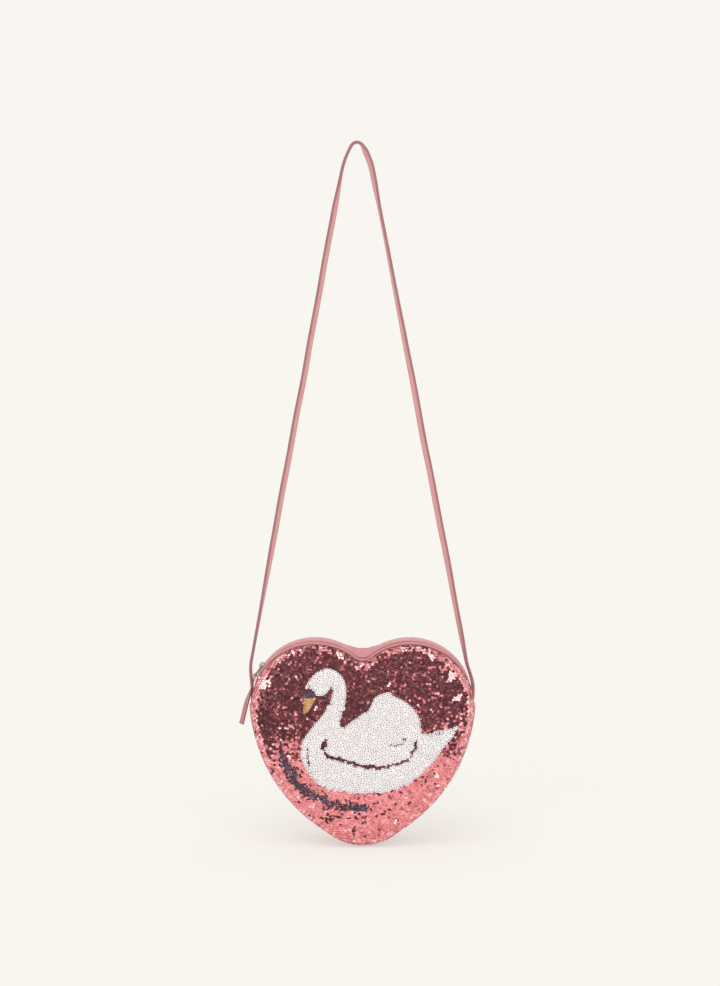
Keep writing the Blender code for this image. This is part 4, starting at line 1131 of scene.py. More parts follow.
# name, group, finish, shape, seed, rise above the lowest, size
for name, group, finish, disc, *own in (
    ("roseSequinsUpper", "roseUpper", "rose", plainDisc, 31, 0.0, 1.0),
    ("roseSequinsLower", "roseLower", "rose", plainDisc, 31, 0.0, 1.0),
    ("swanSequins", "white", "white", knottedDisc, 38, motif["whiteLift"], motif["sewnSize"]),
    ("swanUnderSequins", "whiteUnder", "white", plainDisc, 73, motif["underLift"], 1.0),
    ("billSequins", "orange", "orange", knottedDisc, 45, motif["whiteLift"], motif["billSize"]),
    ("knobSequins", "knob", "navy", knottedDisc, 31, motif["whiteLift"], motif["billSize"]),
    ("waterSequins", "navy", "navy", plainDisc, 31, motif["whiteLift"], 1.0),
    ("waterStrokes", "navyStrokes", "navy", plainDisc, 80, motif["strokeLift"], motif["strokeSize"]),
    ("roseStrokes", "roseStrokes", "rose", plainDisc, 80, motif["strokeLift"], motif["strokeSize"]),
):
    tree = scatterTree(name + "Tree", finishes[finish], finishes["knot"] if disc == knottedDisc else None)
    points = sequinPoints(group, *own)
    sequinPieces[name] = scatter(name, points, disc, tree, discScale, sequin["looseTilt"], 11)
tree = scatterTree("roseSequinsLooseTree", finishes["loose"])
sequinPieces["roseSequinsLoose"] = scatter(
    "roseSequinsLoose", loosePoints, flatDisc, tree, discScale, seed=12,
)
for disc in (flatDisc, plainDisc, knottedDisc):
    bpy.data.objects.remove(disc, do_unlink=True)
print("sequins placed:", {key: len(value) for key, value in groups.items()})


# the bands round the outline
band = {
    "step": 0.0021,
    "gussetThickness": 0.001,
    "tabThickness": 0.0008,
    "tapeThickness": 0.0004,
    "clearance": 0.0003,
    "strapThickness": 0.0022,
    "tabAngle": 27.0,
    "tabEaseAngle": 20.0,
    "pocketLength": 0.024,
    "pocketEase": 0.010,
    "hemLength": 0.0024,
    "crown": 0.0009,
    "pucker": 0.00028,
    "puckerPitch": 0.0046,
}
tabEnd = widest + heart["lobeRadius"] * math.radians(band["tabAngle"])
tabEased = widest + heart["lobeRadius"] * math.radians(band["tabEaseAngle"])
pocketStart = widest - band["pocketLength"]
pocketEased = pocketStart - band["pocketEase"]
pocketDepth = band["gussetThickness"] + band["clearance"]
tabInset = band["strapThickness"] + band["clearance"]
tapeInset = pocketDepth


# places across a strip, closer together at its rounded edges
def acrossPlaces(y0, y1, count):
    edge = 0.0004
    places = [y0, y0 + edge * 0.3, y0 + edge]
    for i in range(1, count):
        places.append(y0 + edge + (y1 - y0 - 2 * edge) * i / count)
    return places + [y1 - edge, y1 - edge * 0.3, y1]


# outer and inner give the depth below the outline at (s, y)
def bandPiece(name, first, last, y0, y1, count, outer, inner, material):
    places = acrossPlaces(y0, y1, count)
    steps = round((last - first) / band["step"])
    stations = [first, first + 0.0004]
    for i in range(1, steps):
        stations.append(first + (last - first) * i / steps)
    stations += [last - 0.0004, last]
    loops = []
    strip = []
    for k, s in enumerate(stations):
        base, normal = onOutline(s)
        atEnd = k in (0, len(stations) - 1)
        loop = []
        marks = []
        for side, row in ((0, places), (1, places[::-1])):
            for i, y in enumerate(row):
                high, low = outer(s, y), inner(s, y)
                rounding = min(0.00035, (low - high) * 0.42)
                cut = {0: 1.0, 1: 0.4, len(row) - 2: 0.4, len(row) - 1: 1.0}.get(i, 0.0)
                if atEnd:
                    cut = max(cut, 0.8)
                depth = high + rounding * cut if side == 0 else low - rounding * cut
                depth -= bridgeAt(s, y)
                point = base - normal * depth
                loop.append((point.x, y, point.z))
                marks.append((s, y))
        loops.append(loop)
        strip.append(marks)
    return skin(name, loops, material, strip=strip, smooth=60)


# how the cloth is drawn in at the seams: small puckers close to both edges
def puckerAt(s, y):
    edge = ease(abs(y), 0.0135, 0.0178)
    wave = math.sin(2 * math.pi * s / band["puckerPitch"] + 3 * ripple(s, y, 0, 0.013))
    slow = 0.5 + 0.5 * ripple(s, 4 + y * 20, 0, 0.019)
    return band["pucker"] * edge * (0.5 + 0.5 * wave) * slow


def swellAt(s, y, low, high):
    share = 1 - abs(2 * (y - low) / (high - low) - 1) ** 2.2
    slow = 0.62 + 0.55 * ripple(s, y * 1.5, 2.2, 0.026)
    return band["crown"] * share * max(slow, 0.1)


def pocketAt(s, y):
    ends = ease(besideTip(s), pocketEased, pocketStart)
    bump = 1 - ease(abs(y), 0.0048, 0.0105)
    return pocketDepth * ends * bump, ends


def gussetOuter(s, y):
    rise, ends = pocketAt(s, y)
    soft = swellAt(s, y, -heart["bandHalf"], heart["bandHalf"]) * (1 - 0.75 * ends)
    return -rise - soft - puckerAt(s, y)


def gussetInner(s, y):
    rise, ends = pocketAt(s, y)
    hem = ease(besideTip(s), widest - band["hemLength"] - 0.0006, widest - band["hemLength"])
    hem *= ease(abs(y), 0.0041, 0.0046)
    return (band["gussetThickness"] - rise) * (1 - hem) + (tabInset - band["clearance"]) * hem


def tabOuter(s, y):
    depth = tabInset * (1 - ease(besideTip(s), widest, tabEased))
    return depth - 0.4 * puckerAt(s, y)


def tabInner(s, y):
    return tabInset * (1 - ease(besideTip(s), widest, tabEased)) + band["tabThickness"]


zipLine = {
    "offset": -0.0074,
    "gapHalf": 0.0046,
    "tapeEdge": 0.0026,
    "tapeWidth": 0.009,
    "foldRise": 0.00035,
}
zipLow = zipLine["offset"] - zipLine["gapHalf"]
zipHigh = zipLine["offset"] + zipLine["gapHalf"]
tapeLow = zipLine["offset"] - zipLine["tapeEdge"]
tapeHigh = zipLine["offset"] + zipLine["tapeEdge"]


# beside the zip the strip's edge is folded under, so it stands a little higher
def stripOuter(s, y):
    beside = abs(y - zipLine["offset"]) - zipLine["gapHalf"]
    fold = 1 - ease(beside, 0.0016, 0.0034)
    if y < zipLine["offset"]:
        low, high = -heart["bandHalf"], zipLow
    else:
        low, high = zipHigh, heart["bandHalf"]
    return -zipLine["foldRise"] * fold - 0.7 * swellAt(s, y, low, high) - puckerAt(s, y)


def stripInner(s, y):
    return band["gussetThickness"]


def tapeOuter(s, y):
    return tapeInset


def tapeInner(s, y):
    return tapeInset + band["tapeThickness"]


half = heart["bandHalf"]
zipStart = tabEnd + band["clearance"]
zipEnd = wholeLength - zipStart
tapeStart = tabEnd - 0.004
bands = {}
for name, first, last, y0, y1, count, outer, inner in (
    ("gussetBand", -widest, widest, -half, half, 22, gussetOuter, gussetInner),
    ("sideTabRight", pocketStart, tabEnd, -half, half, 14, tabOuter, tabInner),
    ("sideTabLeft", -tabEnd, -pocketStart, -half, half, 14, tabOuter, tabInner),
    ("zipStripFront", zipStart, zipEnd, -half, zipLow, 8, stripOuter, stripInner),
    ("zipStripBack", zipStart, zipEnd, zipHigh, half, 16, stripOuter, stripInner),
    ("zipTapeFront", tapeStart, wholeLength - tapeStart, -half, tapeLow, 6, tapeOuter, tapeInner),
    ("zipTapeBack", tapeStart, wholeLength - tapeStart, tapeHigh, tapeHigh + zipLine["tapeWidth"], 6,
     tapeOuter, tapeInner),
):
    finish = finishes["tape" if "Tape" in name else "coated"]
    bands[name] = bandPiece(name, first, last, y0, y1, count, outer, inner, finish)
print("gusset bands made")


# the zip's coils, stops and slider
coil = {
    "pitch": 0.00128,
    "length": 0.0026,
    "wire": 0.00078,
    "height": 0.0013,
    "reach": 0.0002,         # how far each tooth stands past the middle
    "part": 0.0016,          # how far each row stands aside past the slider's neck
    "partOver": 0.004,
    "stop": 0.0011,
    "slider": 35.0,          # degrees up the lobe from its widest point
    "halfSlider": 0.005,
    "neck": 0.003,
}
rod = rodShape("rod")
coilRod = rodShape("coilRod", 8)
teethDepth = tapeInset + band["tapeThickness"] / 2
firstTooth = zipStart + coil["stop"] + band["clearance"] * 2
sliderMiddle = wholeLength - widest - heart["lobeRadius"] * math.radians(coil["slider"])
neckAt = sliderMiddle + coil["halfSlider"] - coil["neck"] - 2 * band["clearance"]


def coilPoints(side):
    points = []
    s = firstTooth + (coil["pitch"] / 2 if side > 0 else 0)
    while s < wholeLength - firstTooth:
        part = coil["part"] * ease(s, neckAt - coil["partOver"], neckAt)
        base, normal = onOutline(s, teethDepth)
        middle = zipLine["offset"] + side * (coil["length"] / 2 - coil["reach"] + part)
        place = Vector((base.x, middle, base.z))
        points.append((place, normal, Vector((0, side, 0)), 0.5, 1.0))
        s += coil["pitch"]
    return points


coilTree = scatterTree("coilTree", finishes["coil"])
coilScale = (coil["length"], coil["wire"], coil["height"])
teethFront = scatter("zipCoilFront", coilPoints(-1), coilRod, coilTree, coilScale, smooth=True)
teethBack = scatter("zipCoilBack", coilPoints(1), coilRod, coilTree, coilScale, smooth=True)


# a merged copy of a metal solid with its edges rounded
def roundedCopy(name, node, width):
    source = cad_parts[node]
    bm = bmesh.new()
    bm.from_mesh(source.data)
    bm.transform(source.matrix_world)
    bmesh.ops.remove_doubles(bm, verts=bm.verts, dist=1e-6)
    bmesh.ops.dissolve_limit(bm, angle_limit=math.radians(1), verts=bm.verts, edges=bm.edges)
    item = newObject(name, meshFrom(bm, name))
    bevel = item.modifiers.new("bevel", "BEVEL")
    bevel.width = width
    bevel.segments = 2
    bevel.limit_method = "ANGLE"
    bevel.angle_limit = math.radians(35)
    bevel.use_clamp_overlap = True
    rounded = applied(item, bevel, name)
    item.data = rounded
    rounded.materials.clear()
    rounded.materials.append(finishes["metal"])
    rounded.shade_smooth()
    rounded.set_sharp_from_angle(angle=math.radians(50))
    return item


slider = roundedCopy("zipSliderBody", "zip_slider", 0.00016)
stopFront = roundedCopy("topStopFront", "zip_top_stop_front", 0.0001)
stopBack = roundedCopy("topStopBack", "zip_top_stop_back", 0.0001)
stopBottom = roundedCopy("bottomStop", "zip_bottom_stop", 0.0001)

# ring and pull tab, drawn in the slider's own frame
pull = {
    "pivotX": 0.00205,
    "pivotRise": 0.0019,     # above the lobe's outline
    "ringReach": 0.0095,
    "ringWidth": 0.007,
    "wire": 0.0006,
    "corner": 0.001,
    "width": 0.0042,
    "length": 0.041,
    "layer": 0.00056,
    "gap": 0.00032,          # half of what the two layers stand apart
    "bow": 0.0006,
    "bowFrom": 0.006,
    "flatFrom": 0.0042,
    "drop": 19.0,
    "twist": 50.0,
    "twistStart": 0.007,
    "twistEnd": 0.026,
    "eye": 0.00118,
    "stitchRows": 0.0013,    # off the middle
    "stitchEnd": 0.0395,
    "stitches": 14,
    "stitchLength": 0.0018,
    "threadWidth": 0.00032,
    "stitchLift": 0.00003,
}
slideFrame = Matrix.Translation((heart["axisX"] - lobeX, zipLine["offset"], lobeZ + heart["tipZ"]))
slideFrame = slideFrame @ Matrix.Rotation(math.radians(coil["slider"] - 90), 4, "Y")
ringFrame = slideFrame @ Matrix.Translation((pull["pivotX"], 0, heart["lobeRadius"] + pull["pivotRise"]))
tabFrame = ringFrame @ Matrix.Translation((-pull["ringReach"], 0, 0))
tabFrame = tabFrame @ Matrix.Rotation(math.radians(-pull["drop"]), 4, "Y")


def ringPiece():
    halfWidth = pull["ringWidth"] / 2 - pull["wire"] - pull["corner"]
    path = []
    for x, y, start in (
        (-pull["ringReach"] + pull["corner"], -halfWidth, 180),
        (-pull["corner"], -halfWidth, 270),
        (-pull["corner"], halfWidth, 0),
        (-pull["ringReach"] + pull["corner"], halfWidth, 90),
    ):
        for i in range(7):
            angle = math.radians(start + 15 * i)
            over, up = pull["corner"] * math.cos(angle), pull["corner"] * math.sin(angle)
            path.append(Vector((x + over, y + up, 0)))
    loops = []
    for i, point in enumerate(path):
        along = (path[(i + 1) % len(path)] - path[i - 1]).normalized()
        side = along.cross(Vector((0, 0, 1)))
        loop = []
        for out, up in roundPlaces(14):
            reach = side * out + Vector((0, 0, 1)) * up
            loop.append(ringFrame @ (point + reach * pull["wire"]))
        loops.append(loop)
    return skin("pullRingWire", loops, finishes["metal"], wrap=True)


# the tab's turn about its own length and its slack, as a function of the length from the ring
def pullBend(along):
    turn = math.radians(pull["twist"]) * ease(along, pull["twistStart"], pull["twistEnd"])
    return turn, pull["bow"] * math.sin(math.pi * ease(along, pull["bowFrom"], pull["length"]))


# one strip that runs up, round the ring's far bar and down again
def pullPiece():
    eye = pull["eye"]
    gap = pull["gap"]
    middles = []
    straight = 26
    start = pull["flatFrom"]
    for i in range(straight + 1):
        along = pull["length"] - (pull["length"] - start) * i / straight
        middles.append((-along, -gap))
    turns = 22
    meet = -eye * math.cos(math.asin(gap / eye))
    for i in range(1, 5):
        share = i / 5
        middles.append((-start + (start + meet) * share, -gap - (eye * 0.25) * ease(share, 0, 1)))
    for i in range(turns + 1):
        angle = math.pi + 0.75 + (2 * math.pi - 1.5) * i / turns
        middles.append((eye * math.cos(angle), eye * math.sin(angle)))
    for x, z in middles[: straight + 5][::-1]:
        middles.append((x, -z))
    loops = []
    strip = []
    walked = 0.0
    for i, (x, z) in enumerate(middles):
        before = Vector(middles[max(i - 1, 0)])
        after = Vector(middles[min(i + 1, len(middles) - 1)])
        ahead = (after - before).normalized()
        normal = Vector((-ahead.y, ahead.x))
        walked += (Vector(middles[i]) - before).length
        turn, bow = pullBend(-x)
        halfWidth = pull["width"] / 2 + 0.00008 * ripple(-x, 1.0, 0, 0.006)
        halfLayer = pull["layer"] / 2
        if i in (0, len(middles) - 1):
            halfLayer *= 0.75
        loop = []
        marks = []
        for a, b in (
            (-1, -0.55), (-0.93, -1), (-0.5, -1), (0, -1), (0.5, -1), (0.93, -1), (1, -0.55),
            (1, 0.55), (0.93, 1), (0.5, 1), (0, 1), (-0.5, 1), (-0.93, 1), (-1, 0.55),
        ):
            px = x + normal.x * b * halfLayer
            pz = z + normal.y * b * halfLayer
            py = a * halfWidth
            cosine, sine = math.cos(turn), math.sin(turn)
            loop.append(tabFrame @ Vector((px, py * cosine - pz * sine, py * sine + pz * cosine + bow)))
            marks.append((walked, py))
        loops.append(loop)
        strip.append(marks)
    return skin("pullTabStrip", loops, finishes["pull"], strip=strip, smooth=50)


pullRing = ringPiece()
pullTab = pullPiece()
print("zip made")


# the strap, one strip from sewn end to sewn end
strap = {
    "width": 0.007,
    "thickness": 0.0022,
    "sewn": 0.022,
    "loopHeight": 0.4442,
    "topRadius": 0.0039,
    "shoulderRadius": 0.070,
    "shoulderTurn": 30.0,
    "leanOut": 7.0,
    "bendRadius": 0.095,
    "swayLow": 0.0029,
    "swayTop": 0.0044,
    "swayStart": 0.012,
    "swayRise": 0.022,
    # share of the height from the fold line to the top, degrees
    "leftTwist": ((0.0, 0), (0.04, 0), (0.27, 27), (0.87, 27), (0.95, 2), (1.0, 0)),
    "rightTwist": (
        (0.0, 4), (0.07, 20), (0.27, 31), (0.48, 31), (0.87, 9), (0.935, 26), (0.98, 28), (1.0, 0),
    ),
    "step": 0.0032,
    "stitchPitch": 0.0026,
    "stitchLength": 0.0019,
    "threadWidth": 0.00038,
    "stitchInset": 0.0012,
    "stitchLift": 0.00004,
    "stitchStart": 0.004,
    "round": 0.0006,
    # half places of the strip's flat faces, and how much they are full
    "faces": ((0.0021, 0.0), (0.0009, 0.00002), (-0.0009, 0.00002), (-0.0021, 0.0)),
    "slackAcross": 0.0007,
    "slackDeep": 0.0009,
}
strapAnchorZ = lobeZ + 0.001


# (x, z, inward x, inward z) from the right seam over the top to the left one, in the heart's own frame
def strapRow():
    anchorX = heart["width"] / 2 - strap["thickness"] / 2
    leanOut = math.radians(strap["leanOut"])
    turn = math.radians(strap["shoulderTurn"])
    bend = strap["bendRadius"]
    shoulder = strap["shoulderRadius"]
    bendX = anchorX - bend * math.cos(leanOut)
    bendZ = strapAnchorZ + bend * math.sin(leanOut)
    topRadius = strap["topRadius"] + strap["thickness"] / 2
    topZ = strapAnchorZ + strap["loopHeight"] - strap["topRadius"]
    shoulderX = (topRadius - shoulder) * math.cos(turn)
    shoulderZ = topZ + (topRadius - shoulder) * math.sin(turn)
    across, rise = shoulderX - bendX, shoulderZ - bendZ
    leanIn = math.atan2(rise, across) - math.acos((bend - shoulder) / math.hypot(across, rise))
    row = []

    def addArc(x, z, radius, first, last, steps, skip=0):
        for i in range(skip, steps + 1):
            angle = first + (last - first) * i / steps
            cosine, sine = math.cos(angle), math.sin(angle)
            row.append((x + radius * cosine, z + radius * sine, -cosine, -sine))

    steps = round(strap["sewn"] / strap["step"])
    for i in range(steps + 1):
        s = widest - strap["sewn"] + strap["sewn"] * i / steps
        point, normal = onOutline(s, strap["thickness"] / 2)
        row.append((point.x - heart["axisX"], point.z - heart["tipZ"], -normal.x, -normal.z))
    addArc(bendX, bendZ, bend, -leanOut, leanIn, round(bend * (leanOut + leanIn) / 0.002))
    foldX, foldZ = row[-1][:2]
    endX = shoulderX + shoulder * math.cos(leanIn)
    endZ = shoulderZ + shoulder * math.sin(leanIn)
    steps = round(math.hypot(endX - foldX, endZ - foldZ) / strap["step"])
    for i in range(1, steps + 1):
        share = i / steps
        row.append((foldX + (endX - foldX) * share, foldZ + (endZ - foldZ) * share,
                    -math.cos(leanIn), -math.sin(leanIn)))
    addArc(shoulderX, shoulderZ, shoulder, leanIn, turn, 9, 1)
    addArc(0, topZ, topRadius, turn, math.pi / 2, 7, 1)
    left = [(-x, z, -nx, nz) for x, z, nx, nz in row[:-1]]
    return row + left[::-1], foldZ, topZ + topRadius


strapLine, foldZ, apexZ = strapRow()


def swayAt(z):
    above = z - strapAnchorZ
    lean = strap["swayLow"] * ease(above, strap["swayStart"], strap["swayStart"] + strap["swayRise"])
    share = min(max(above / strap["loopHeight"], 0.0), 1.0)
    return -lean - (strap["swayTop"] - strap["swayLow"]) * share


def twistAt(x, z):
    table = strap["rightTwist"] if x > 0 else strap["leftTwist"]
    share = (z - foldZ) / (apexZ - foldZ)
    for (low, first), (high, last) in zip(table, table[1:]):
        if share <= high:
            return math.radians(first + (last - first) * ease(share, low, high))
    return 0.0


# the strip's middle and its own directions at each step, with a light slackness in the legs
def strapFrames():
    frames = []
    walked = 0.0
    before = None
    for x, z, nx, nz in strapLine:
        angle = twistAt(x, z)
        share = min(max((z - foldZ) / (apexZ - foldZ), 0.0), 1.0)
        free = math.sin(math.pi * share) ** 0.75
        inward = Vector((nx, 0, nz))
        middle = Vector((x + swayAt(z) + heart["axisX"], 0, z + heart["tipZ"]))
        middle += inward * strap["slackAcross"] * free * ripple(z, 1.0 if x > 0 else 6.0, 0, 0.05)
        middle.y += strap["slackDeep"] * free * ripple(z, 3.0 if x > 0 else 8.0, 0, 0.06)
        across = Vector((0, 1, 0))
        wide = across * math.cos(angle) + inward * math.sin(angle)
        thick = inward * math.cos(angle) - across * math.sin(angle)
        if before is not None:
            walked += (middle - before).length
        before = middle
        frames.append((middle, wide, thick, walked))
    return frames


strapFramesRow = strapFrames()


def strapPiece():
    halfWidth = strap["width"] / 2
    halfThick = strap["thickness"] / 2
    corner = strap["round"]
    section = []
    for i in range(5):
        angle = math.radians(-90 + 90 * i / 4)
        a = halfWidth - corner + corner * math.cos(angle)
        section.append((a, -halfThick + corner + corner * math.sin(angle)))
    section += [(a, -b) for a, b in section[::-1]]
    faceRow = [(a, halfThick + full) for a, full in strap["faces"]]
    whole = section + faceRow + [(-a, -b) for a, b in section] + [(-a, -b) for a, b in faceRow]
    loops = []
    strip = []
    for i, (middle, wide, thick, walked) in enumerate(strapFramesRow):
        tight = 0.72 if i in (0, len(strapFramesRow) - 1) else 1.0
        loop = []
        marks = []
        for a, b in whole:
            loop.append(middle + wide * a + thick * b * tight)
            marks.append((walked, a))
        loops.append(loop)
        strip.append(marks)
    return skin("strapBand", loops, finishes["strap"], strip=strip, smooth=50)


strapBand = strapPiece()


def strapStitchPoints():
    points = []
    index = 0
    s = strap["sewn"] + strap["stitchStart"]
    while s < strapFramesRow[-1][3] - strap["sewn"] - strap["stitchStart"]:
        while strapFramesRow[index + 1][3] < s:
            index += 1
        a, b = strapFramesRow[index], strapFramesRow[index + 1]
        share = (s - a[3]) / (b[3] - a[3])
        middle = a[0].lerp(b[0], share)
        wide = a[1].lerp(b[1], share).normalized()
        thick = a[2].lerp(b[2], share).normalized()
        along = (b[0] - a[0]).normalized()
        for edge in (-1, 1):
            for face in (-1, 1):
                place = middle + wide * edge * (strap["width"] / 2 - strap["stitchInset"])
                place = place + thick * face * (strap["thickness"] / 2 + strap["stitchLift"])
                points.append((place, thick * face, along, 0.5, 1.0))
        s += strap["stitchPitch"]
    return points


stitchTree = scatterTree("stitchTree", finishes["thread"])


# stitches as small rods, a little flattened
def stitches(name, points, length, width, flat=0.7):
    return scatter(name, points, rod, stitchTree, (length, width, width * flat), smooth=True)


strapStitches = stitches("strapTopstitch", strapStitchPoints(), strap["stitchLength"], strap["threadWidth"])

# stitches on the gusset: beside the zip, at the hems and over the sewn strap ends
stitch = {
    "pitch": 0.0027,
    "length": 0.002,
    "thread": 0.00042,
    "lift": 0.00004,
    "beside": 0.0011,
    "hem": 0.0042,
    "tab": 0.0013,
    "rowOut": 0.0165,
    "rowIn": 0.0048,
    # the box over a sewn end: from and to below the side seam, half its width, its own stitches
    "boxFrom": 0.006,
    "boxLength": 0.0115,
    "boxHalf": 0.0026,
    "boxPitch": 0.0021,
    "boxStitch": 0.0017,
    "boxLift": 0.00008,
}


# one row of stitches on the outline between two places (s, y)
def stitchRow(first, last, depth, pitch=stitch["pitch"], lift=stitch["lift"], least=1):
    points = []
    count = max(least, round(math.dist(first, last) / pitch))
    for i in range(count):
        share = (i + 0.5) / count
        s = first[0] + (last[0] - first[0]) * share
        y = first[1] + (last[1] - first[1]) * share
        base, normal = onOutline(s, depth(s, y) - lift)
        along = Vector((-normal.z, 0, normal.x)) * (last[0] - first[0])
        along.y = last[1] - first[1]
        points.append((Vector((base.x, y, base.z)), normal, along.normalized(), 0.5, 1.0))
    return points


gussetStitchPoints = []
for y in (zipLow - stitch["beside"], zipHigh + stitch["beside"]):
    gussetStitchPoints += stitchRow((zipStart + 0.001, y), (zipEnd - 0.001, y), stripOuter)
out, near = stitch["rowOut"], stitch["rowIn"]
for side in (-1, 1):
    hemAt = side * (widest - stitch["hem"])
    tabAt = side * (tabEnd - stitch["tab"])
    gussetStitchPoints += stitchRow((hemAt, -out), (hemAt, -near), gussetOuter)
    gussetStitchPoints += stitchRow((hemAt, near), (hemAt, out), gussetOuter)
    gussetStitchPoints += stitchRow((tabAt, -out), (tabAt, out), tabOuter)
gussetStitches = stitches("gussetTopstitch", gussetStitchPoints, stitch["length"], stitch["thread"])


# both sewn ends take their depth from the right one
def boxDepth(s, y):
    return gussetOuter(abs(s), y)


# a rectangle of stitches with its cross, over one sewn strap end
def boxStitches(name, side):
    high = side * (widest - stitch["boxFrom"])
    low = side * (widest - stitch["boxFrom"] - stitch["boxLength"])
    reach = stitch["boxHalf"]
    points = []
    for first, last in (
        ((low, -reach), (high, -reach)), ((high, -reach), (high, reach)), ((high, reach), (low, reach)),
        ((low, reach), (low, -reach)), ((low, -reach), (high, reach)), ((high, -reach), (low, reach)),
    ):
        points += stitchRow(first, last, boxDepth, stitch["boxPitch"], stitch["boxLift"], 2)
    return stitches(name, points, stitch["boxStitch"], stitch["thread"], 0.75)


boxRight = boxStitches("endStitchesRight", 1)
boxLeft = boxStitches("endStitchesLeft", -1)


def pullStitchPoints():
    points = []
    turned = tabFrame.to_3x3()
    for y in (-pull["stitchRows"], pull["stitchRows"]):
        for i in range(pull["stitches"]):
            share = (i + 0.5) / pull["stitches"]
            along = pull["bowFrom"] + (pull["stitchEnd"] - pull["bowFrom"]) * share
            turn, bow = pullBend(along)
            cosine, sine = math.cos(turn), math.sin(turn)
            for face in (-1, 1):
                depth = face * (pull["gap"] + pull["layer"] / 2 + pull["stitchLift"])
                place = Vector((-along, y * cosine - depth * sine, y * sine + depth * cosine + bow))
                facing = Vector((0, -sine * face, cosine * face))
                points.append((tabFrame @ place, turned @ facing, turned @ Vector((1, 0, 0)), 0.5, 1.0))
    return points


pullStitches = stitches(
    "pullTopstitch", pullStitchPoints(), pull["stitchLength"], pull["threadWidth"], 0.75,
)
for item in (rod, coilRod):
    bpy.data.objects.remove(item, do_unlink=True)
print("strap and stitches made")

# finishes of the hidden solids that stay
hidden = {
    "foam": ("front_padding", "back_padding", "gusset_foam"),
    "lining": (
        "front_lining", "back_lining", "gusset_lining", "zip_lining_front", "zip_lining_back",
        "front_seam_binding", "back_seam_binding",
    ),
}
for key, nodes in hidden.items():
    for node in nodes:
        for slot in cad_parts[node].material_slots:
            slot.material = finishes[key]

# what each piece rides on, the name of its finish slot, and what it replaces
for piece, body, slotName, *nodes in (
    (frontCloth, "bag", "rose_sequin_cloth", "front_cover"),
    (backCloth, "bag", "pink_coated_cloth", "back_cover"),
    (sequinPieces["roseSequinsUpper"], "bag", "rose_sequin_cloth"),
    (sequinPieces["roseSequinsLower"], "bag", "rose_sequin_cloth"),
    (sequinPieces["roseSequinsLoose"], "bag", "rose_sequin_cloth"),
    (sequinPieces["swanSequins"], "bag", "white_sequins", "swan_motif"),
    (sequinPieces["billSequins"], "bag", "orange_sequins", "swan_bill"),
    (sequinPieces["knobSequins"], "bag", "navy_sequins", "swan_bill"),
    (sequinPieces["waterSequins"], "bag", "navy_sequins", "water_ripple"),
    (sequinPieces["waterStrokes"], "bag", "navy_sequins", "water_ripple"),
    (sequinPieces["roseStrokes"], "bag", "rose_sequin_cloth"),
    (sequinPieces["swanUnderSequins"], "bag", "white_sequins", "swan_motif"),
    (bands["gussetBand"], "bag", "pink_coated_cloth", "bottom_gusset"),
    (bands["sideTabRight"], "bag", "pink_coated_cloth", "side_tab_right"),
    (bands["sideTabLeft"], "bag", "pink_coated_cloth", "side_tab_left"),
    (bands["zipStripFront"], "bag", "pink_coated_cloth", "zip_strip_front"),
    (bands["zipStripBack"], "bag", "pink_coated_cloth", "zip_strip_back"),
    (bands["zipTapeFront"], "bag", "zip_tape", "zip_tape_front"),
    (bands["zipTapeBack"], "bag", "zip_tape", "zip_tape_back"),
    (teethFront, "bag", "zip_teeth", "zip_teeth_front"),
    (teethBack, "bag", "zip_teeth", "zip_teeth_back"),
    (stopFront, "bag", "silver_metal", "zip_top_stop_front"),
    (stopBack, "bag", "silver_metal", "zip_top_stop_back"),
    (stopBottom, "bag", "silver_metal", "zip_bottom_stop"),
    (slider, "slider", "silver_metal", "zip_slider"),
    (pullRing, "ring", "silver_metal", "pull_ring"),
    (pullTab, "tab", "pink_coated_strap", "pull_tab"),
    (pullStitches, "tab", "pink_thread"),
    (gussetStitches, "bag", "pink_thread"),
    (boxRight, "bag", "pink_thread", "strap_stitches_right"),
    (boxLeft, "bag", "pink_thread", "strap_stitches_left"),
):
    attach(piece, body)
    if nodes:
        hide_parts(*nodes)

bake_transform(strapBand)
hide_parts("strap", "strap_end_left", "strap_end_right")
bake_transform(strapStitches)
print("pieces ride on their bodies")

# floor, light and camera
studio = {
    "backdrop": (0.947, 0.922, 0.88),
    "floorColour": (0.97, 0.945, 0.905),
    "floorGlow": 0.6,
    "worldLevel": 0.68,
    "lightColour": (1.0, 0.985, 0.965),
    # strength, size, elevation, azimuth
    "key": (0.8, 50.0, 66, -12),
    "glints": ((0.24, 2.0, 18, -33), (0.24, 2.0, 15, 36), (0.16, 2.0, 36, -3), (0.05, 2.0, 4, 8)),
    "cameraPlace": (0.0024, -1.847, -0.1173),
    "cameraDrop": 4.9,
    "lens": 85.0,
}


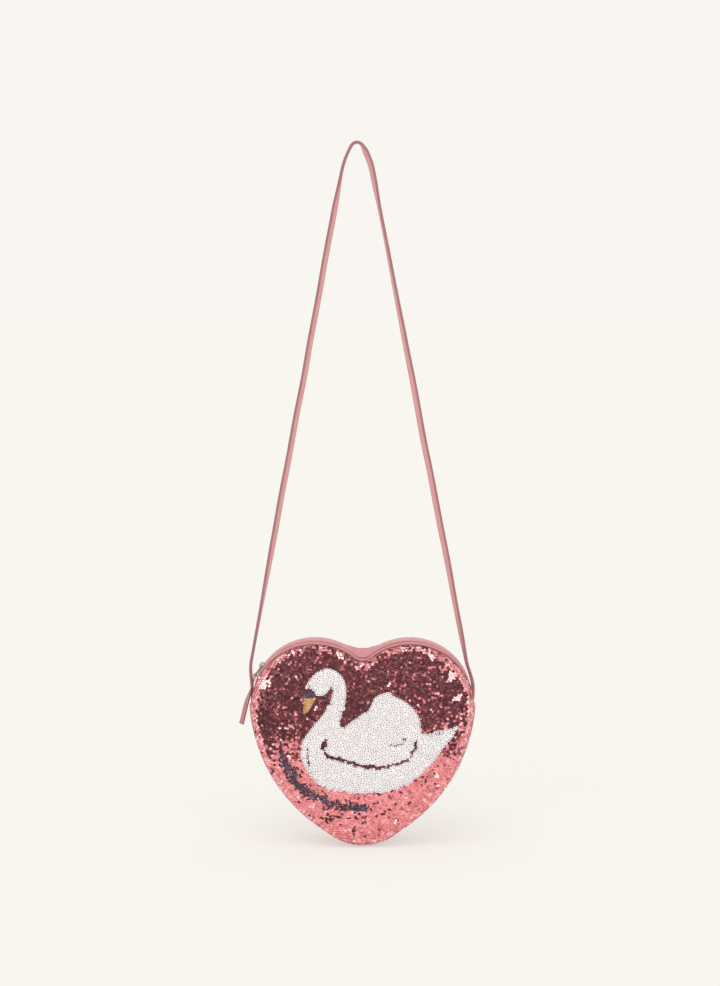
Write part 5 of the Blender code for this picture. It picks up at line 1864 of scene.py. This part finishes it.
def makeFloor():
    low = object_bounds()[0][2] - 0.0003
    bm = bmesh.new()
    reach = 30.0
    corners = [(-reach, -reach), (reach, -reach), (reach, reach), (-reach, reach)]
    bm.faces.new([bm.verts.new((x, y, low)) for x, y in corners])
    mesh = meshFrom(bm, "floor")
    material = newMaterial("floorPaper", studio["floorColour"], 0.95, specular=0.0)
    addBump(material, noiseOf(material, placeOf(material), 900.0, 2.0), 0.00002, 0.2)
    tree = material.node_tree
    seen = addNode(tree, "ShaderNodeLightPath").outputs["Is Camera Ray"]
    inputs = {0: seen, 1: studio["floorGlow"]}
    share = addNode(tree, "ShaderNodeMath", inputs, operation="MULTIPLY").outputs[0]
    glow = addNode(tree, "ShaderNodeEmission", {"Color": (*studio["backdrop"], 1)}).outputs[0]
    inputs = {0: share, 1: tree.nodes["Principled BSDF"].outputs[0], 2: glow}
    mix = addNode(tree, "ShaderNodeMixShader", inputs)
    tree.links.new(mix.outputs[0], tree.nodes["Material Output"].inputs["Surface"])
    newObject("floor", mesh, material)


# the pale backdrop is only seen, and gives no light
def makeWorld():
    world = bpy.data.worlds.new("studioWorld")
    world.use_nodes = True
    scene.world = world
    tree = world.node_tree
    tree.nodes.clear()
    rays = addNode(tree, "ShaderNodeLightPath").outputs
    seen = rays["Is Camera Ray"]
    for ray in ("Is Glossy Ray", "Is Transmission Ray"):
        seen = addNode(tree, "ShaderNodeMath", {0: seen, 1: rays[ray]}, operation="MAXIMUM").outputs[0]
    inputs = {"Color": (*studio["lightColour"], 1), "Strength": studio["worldLevel"]}
    light = addNode(tree, "ShaderNodeBackground", inputs).outputs[0]
    inputs = {"Color": (*studio["backdrop"], 1), "Strength": 1.0}
    backdrop = addNode(tree, "ShaderNodeBackground", inputs).outputs[0]
    mix = addNode(tree, "ShaderNodeMixShader", {0: seen, 1: light, 2: backdrop}).outputs[0]
    addNode(tree, "ShaderNodeOutputWorld", {"Surface": mix})


def makeSun(name, strength, size, elevation, azimuth):
    lamp = bpy.data.lights.new(name, "SUN")
    lamp.energy = strength
    lamp.angle = math.radians(size)
    lamp.color = studio["lightColour"]
    item = bpy.data.objects.new(name, lamp)
    item.rotation_euler = directionTo(elevation, azimuth).to_track_quat("Z", "Y").to_euler()
    scene.collection.objects.link(item)


def makeCamera():
    data = bpy.data.cameras.new("camera")
    data.lens = studio["lens"]
    data.sensor_width = 36.0
    data.sensor_fit = "AUTO"
    data.clip_start = 0.05
    data.clip_end = 100.0
    camera = bpy.data.objects.new("camera", data)
    camera.location = studio["cameraPlace"]
    camera.rotation_euler = Euler((math.radians(90 - studio["cameraDrop"]), 0, 0))
    scene.collection.objects.link(camera)
    scene.camera = camera


makeFloor()
makeWorld()
makeSun("keySun", *studio["key"])
for i, glint in enumerate(studio["glints"]):
    makeSun(f"glint{i}", *glint)
makeCamera()
scene.view_settings.view_transform = "Standard"

print("studio ready")
